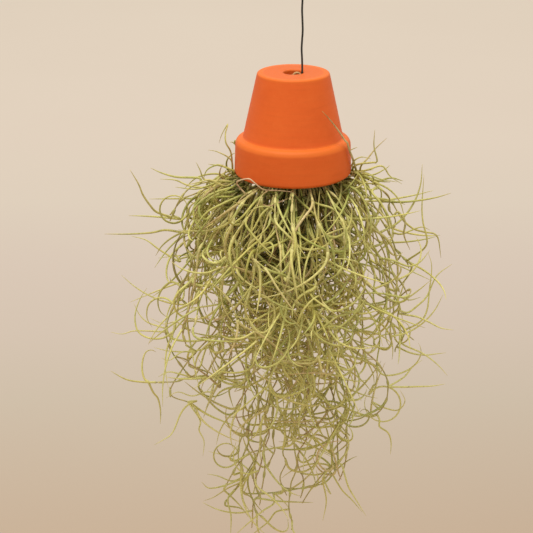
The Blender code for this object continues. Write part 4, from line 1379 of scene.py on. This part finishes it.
def painted_shade_and_light(p):
    """Painted shade and light: how much darker the plant is painted in the heart of the bunch, close under the pot,
    less how much paler it is painted lower down.
    """
    r = np.hypot(p[..., 0] - POT_X, p[..., 1])
    # painted shade in the heart of the bunch, kept off leaves outside the pot above its rim
    deep = 1.15 * smooth_step((p[..., 2] + 236) / 64) * (1 - smooth_step((r - 31) / 20))
    deep = deep * (1 - smooth_step((p[..., 2] + 134) / 10) * smooth_step((r - 30) / 4))
    # painted light: the lower bunch is painted paler
    return deep - 0.34 * smooth_step((-p[..., 2] - 190) / 80)


def skin_strand(strand):
    rng = np.random.default_rng(SEED + 9000 + strand.index)
    skin = Skin()
    by_length = {}
    for path, r0, r1, brown in strand.stems:
        by_length.setdefault(len(path), []).append((path, r0, r1, brown))
    for m, group in by_length.items():
        t = np.linspace(0, 1, m)
        radii = np.array([r0 + (r1 - r0) * t for _, r0, r1, _ in group])
        radii[:, -1] *= 0.6
        radii = radii * (1 + 0.05 * np.sin(np.linspace(0, 60, m))[None])
        skin.tubes(np.array([g[0] for g in group]), radii, 8, np.array([stem_tint(rng, m, g[3]) for g in group]))
    by_length = {}
    for leaf in strand.leaves:
        by_length.setdefault(len(leaf[0]), []).append(leaf)
    for m, group in by_length.items():
        t = np.linspace(0, 1, m)
        tints = np.zeros((len(group), m, 4))
        tints[..., 3] = 1
        for k, (_, _, brown, light) in enumerate(group):
            tints[k, :, 0] = np.clip(brown, 0, 1) * (1.0 if brown > 1 else 0.55 + 0.45 * t)
            # the leaf's light value carries painted shade under the pot and painted light lower down
            tints[k, :, 1] = np.clip(light + 0.12 - painted_shade_and_light(group[k][0]), 0, 1)
            tints[k, :, 2] = t
        # leaves near the neck are older and stouter
        r0 = np.array([g[1] * (1.0 if g[2] > 1 else 1 + 0.2 * float(smooth_step(np.array((g[0][0, 2] + 235) / 70))))
                       for g in group])
        skin.tubes(np.array([g[0] for g in group]), leaf_radius(m, r0), LEAF_SIDES, tints)
    if strand.sheaths:
        m = 9
        t = np.linspace(-0.5, 0.5, m)
        paths = np.array([at + along * size * t[:, None] for at, along, size, _ in strand.sheaths])
        radii = np.array([rad * np.sqrt(np.clip(1 - (2.05 * t) ** 2, 0.03, 1)) for _, _, _, rad in strand.sheaths])
        tints = np.zeros((len(paths), m, 4))
        tints[..., 0] = rng.uniform(0.0, 0.5, len(paths))[:, None]
        tints[..., 1] = rng.uniform(0.3, 0.9, len(paths))[:, None]
        tints[..., 2] = 0.04
        tints[..., 3] = 1
        skin.tubes(paths, radii, 8, tints)
    return skin.object(f"moss_strand_{strand.index + 1:02d}_living", moss_mat)


made = build_strands()
side_stems(made)
free_leaves(made)
moss_pieces = [skin_strand(s) for s in made]
print("leaves", sum(len(s.leaves) for s in made), "stems", sum(len(s.stems) for s in made))

# ------------------------------------------------------------ who rides where
for piece, nodes, slot in (
        (pot, ("terracotta_pot",), "terracotta"),
        (wire, ("hanging_wire",), "wire_coating"),
        (twig, ("cross_peg",), "peg_wood"),
        (sling_front, ("sling_twine_front",), "twine"),
        (sling_back, ("sling_twine_back",), "twine"),
        (neck, ("neck_twine",), "twine")):
    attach(piece, "root")
    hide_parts(*nodes)
for k, piece in enumerate(moss_pieces):
    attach(piece, "root")
    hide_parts(f"moss_strand_{k + 1:02d}")

# ------------------------------------------------------------- floor, light
floor_nodes = Nodes("pale_floor")
at = floor_nodes.position()
# painted light: the floor is painted paler with distance, as paper is under a soft light
split = floor_nodes.node("ShaderNodeSeparateXYZ")
floor_nodes.link(at, split.inputs[0])
floor_light_ramp = floor_nodes.node("ShaderNodeValToRGB")
floor_nodes.link(floor_nodes.ramp(split.outputs["Y"], 1.0, 5.0), floor_light_ramp.inputs[0])
floor_light_stops = [(0.0, (202, 182, 161)), (0.11, (212, 199, 182)), (0.18, (220, 206, 192)), (0.265, (226, 212, 199)),
         (0.37, (232, 220, 205)), (0.50, (236, 223, 208)), (0.95, (238, 226, 210))]
while len(floor_light_ramp.color_ramp.elements) < len(floor_light_stops):
    floor_light_ramp.color_ramp.elements.new(0.5)
for stop, (place, tone) in zip(floor_light_ramp.color_ramp.elements, floor_light_stops):
    stop.position = place
    stop.color = (*srgb(*tone), 1.0)
floor_color = floor_nodes.mix(floor_nodes.ramp(floor_nodes.noise(at, 1.3, 2.0), 0.3, 0.7, 0.0, 0.05),
                              floor_light_ramp.outputs[0], srgb(214, 196, 178))
floor_mat = floor_nodes.finish(floor_color, 0.9)
floor_nodes.shader.inputs["Specular IOR Level"].default_value = 0.0
floor_mesh = bpy.data.meshes.new("floor")
floor_mesh.from_pydata([(-9, -4, 0), (9, -4, 0), (9, 14, 0), (-9, 14, 0)], [], [(0, 1, 2, 3)])
floor_mesh.materials.append(floor_mat)
floor = bpy.data.objects.new("floor", floor_mesh)
floor.location = (0, 0, -0.95)
bpy.context.scene.collection.objects.link(floor)

world = bpy.data.worlds.new("studio")
bpy.context.scene.world = world
world.use_nodes = True
world.node_tree.nodes["Background"].inputs[0].default_value = (1.0, 0.955, 0.90, 1.0)
world.node_tree.nodes["Background"].inputs[1].default_value = 0.70


def lamp(name, place, target, size, watts, color):
    data = bpy.data.lights.new(name, "AREA")
    data.shape = "SQUARE"
    data.size = size
    data.energy = watts
    data.color = color
    obj = bpy.data.objects.new(name, data)
    bpy.context.scene.collection.objects.link(obj)
    obj.location = place
    aim = np.array(target) - np.array(place)
    aim = aim / np.linalg.norm(aim)
    yaw = math.atan2(aim[0], -aim[1])
    obj.rotation_euler = (math.acos(-aim[2]), 0.0, yaw)
    return obj


lamp("top_soft", (-0.25, -0.35, 1.55), (0.0, 0.0, -0.2), 1.3, 28.5, (1.0, 0.965, 0.87))
lamp("front_fill", (0.45, -1.8, 0.0), (0.0, 0.0, -0.27), 1.4, 20.5, (1.0, 0.97, 0.94))
lamp("far_floor", (0.0, 4.0, 1.1), (0.0, 3.9, -0.9), 4.5, 20.0, (1.0, 0.96, 0.91))

bpy.context.scene.view_settings.view_transform = "Standard"
bpy.context.scene.view_settings.look = "None"
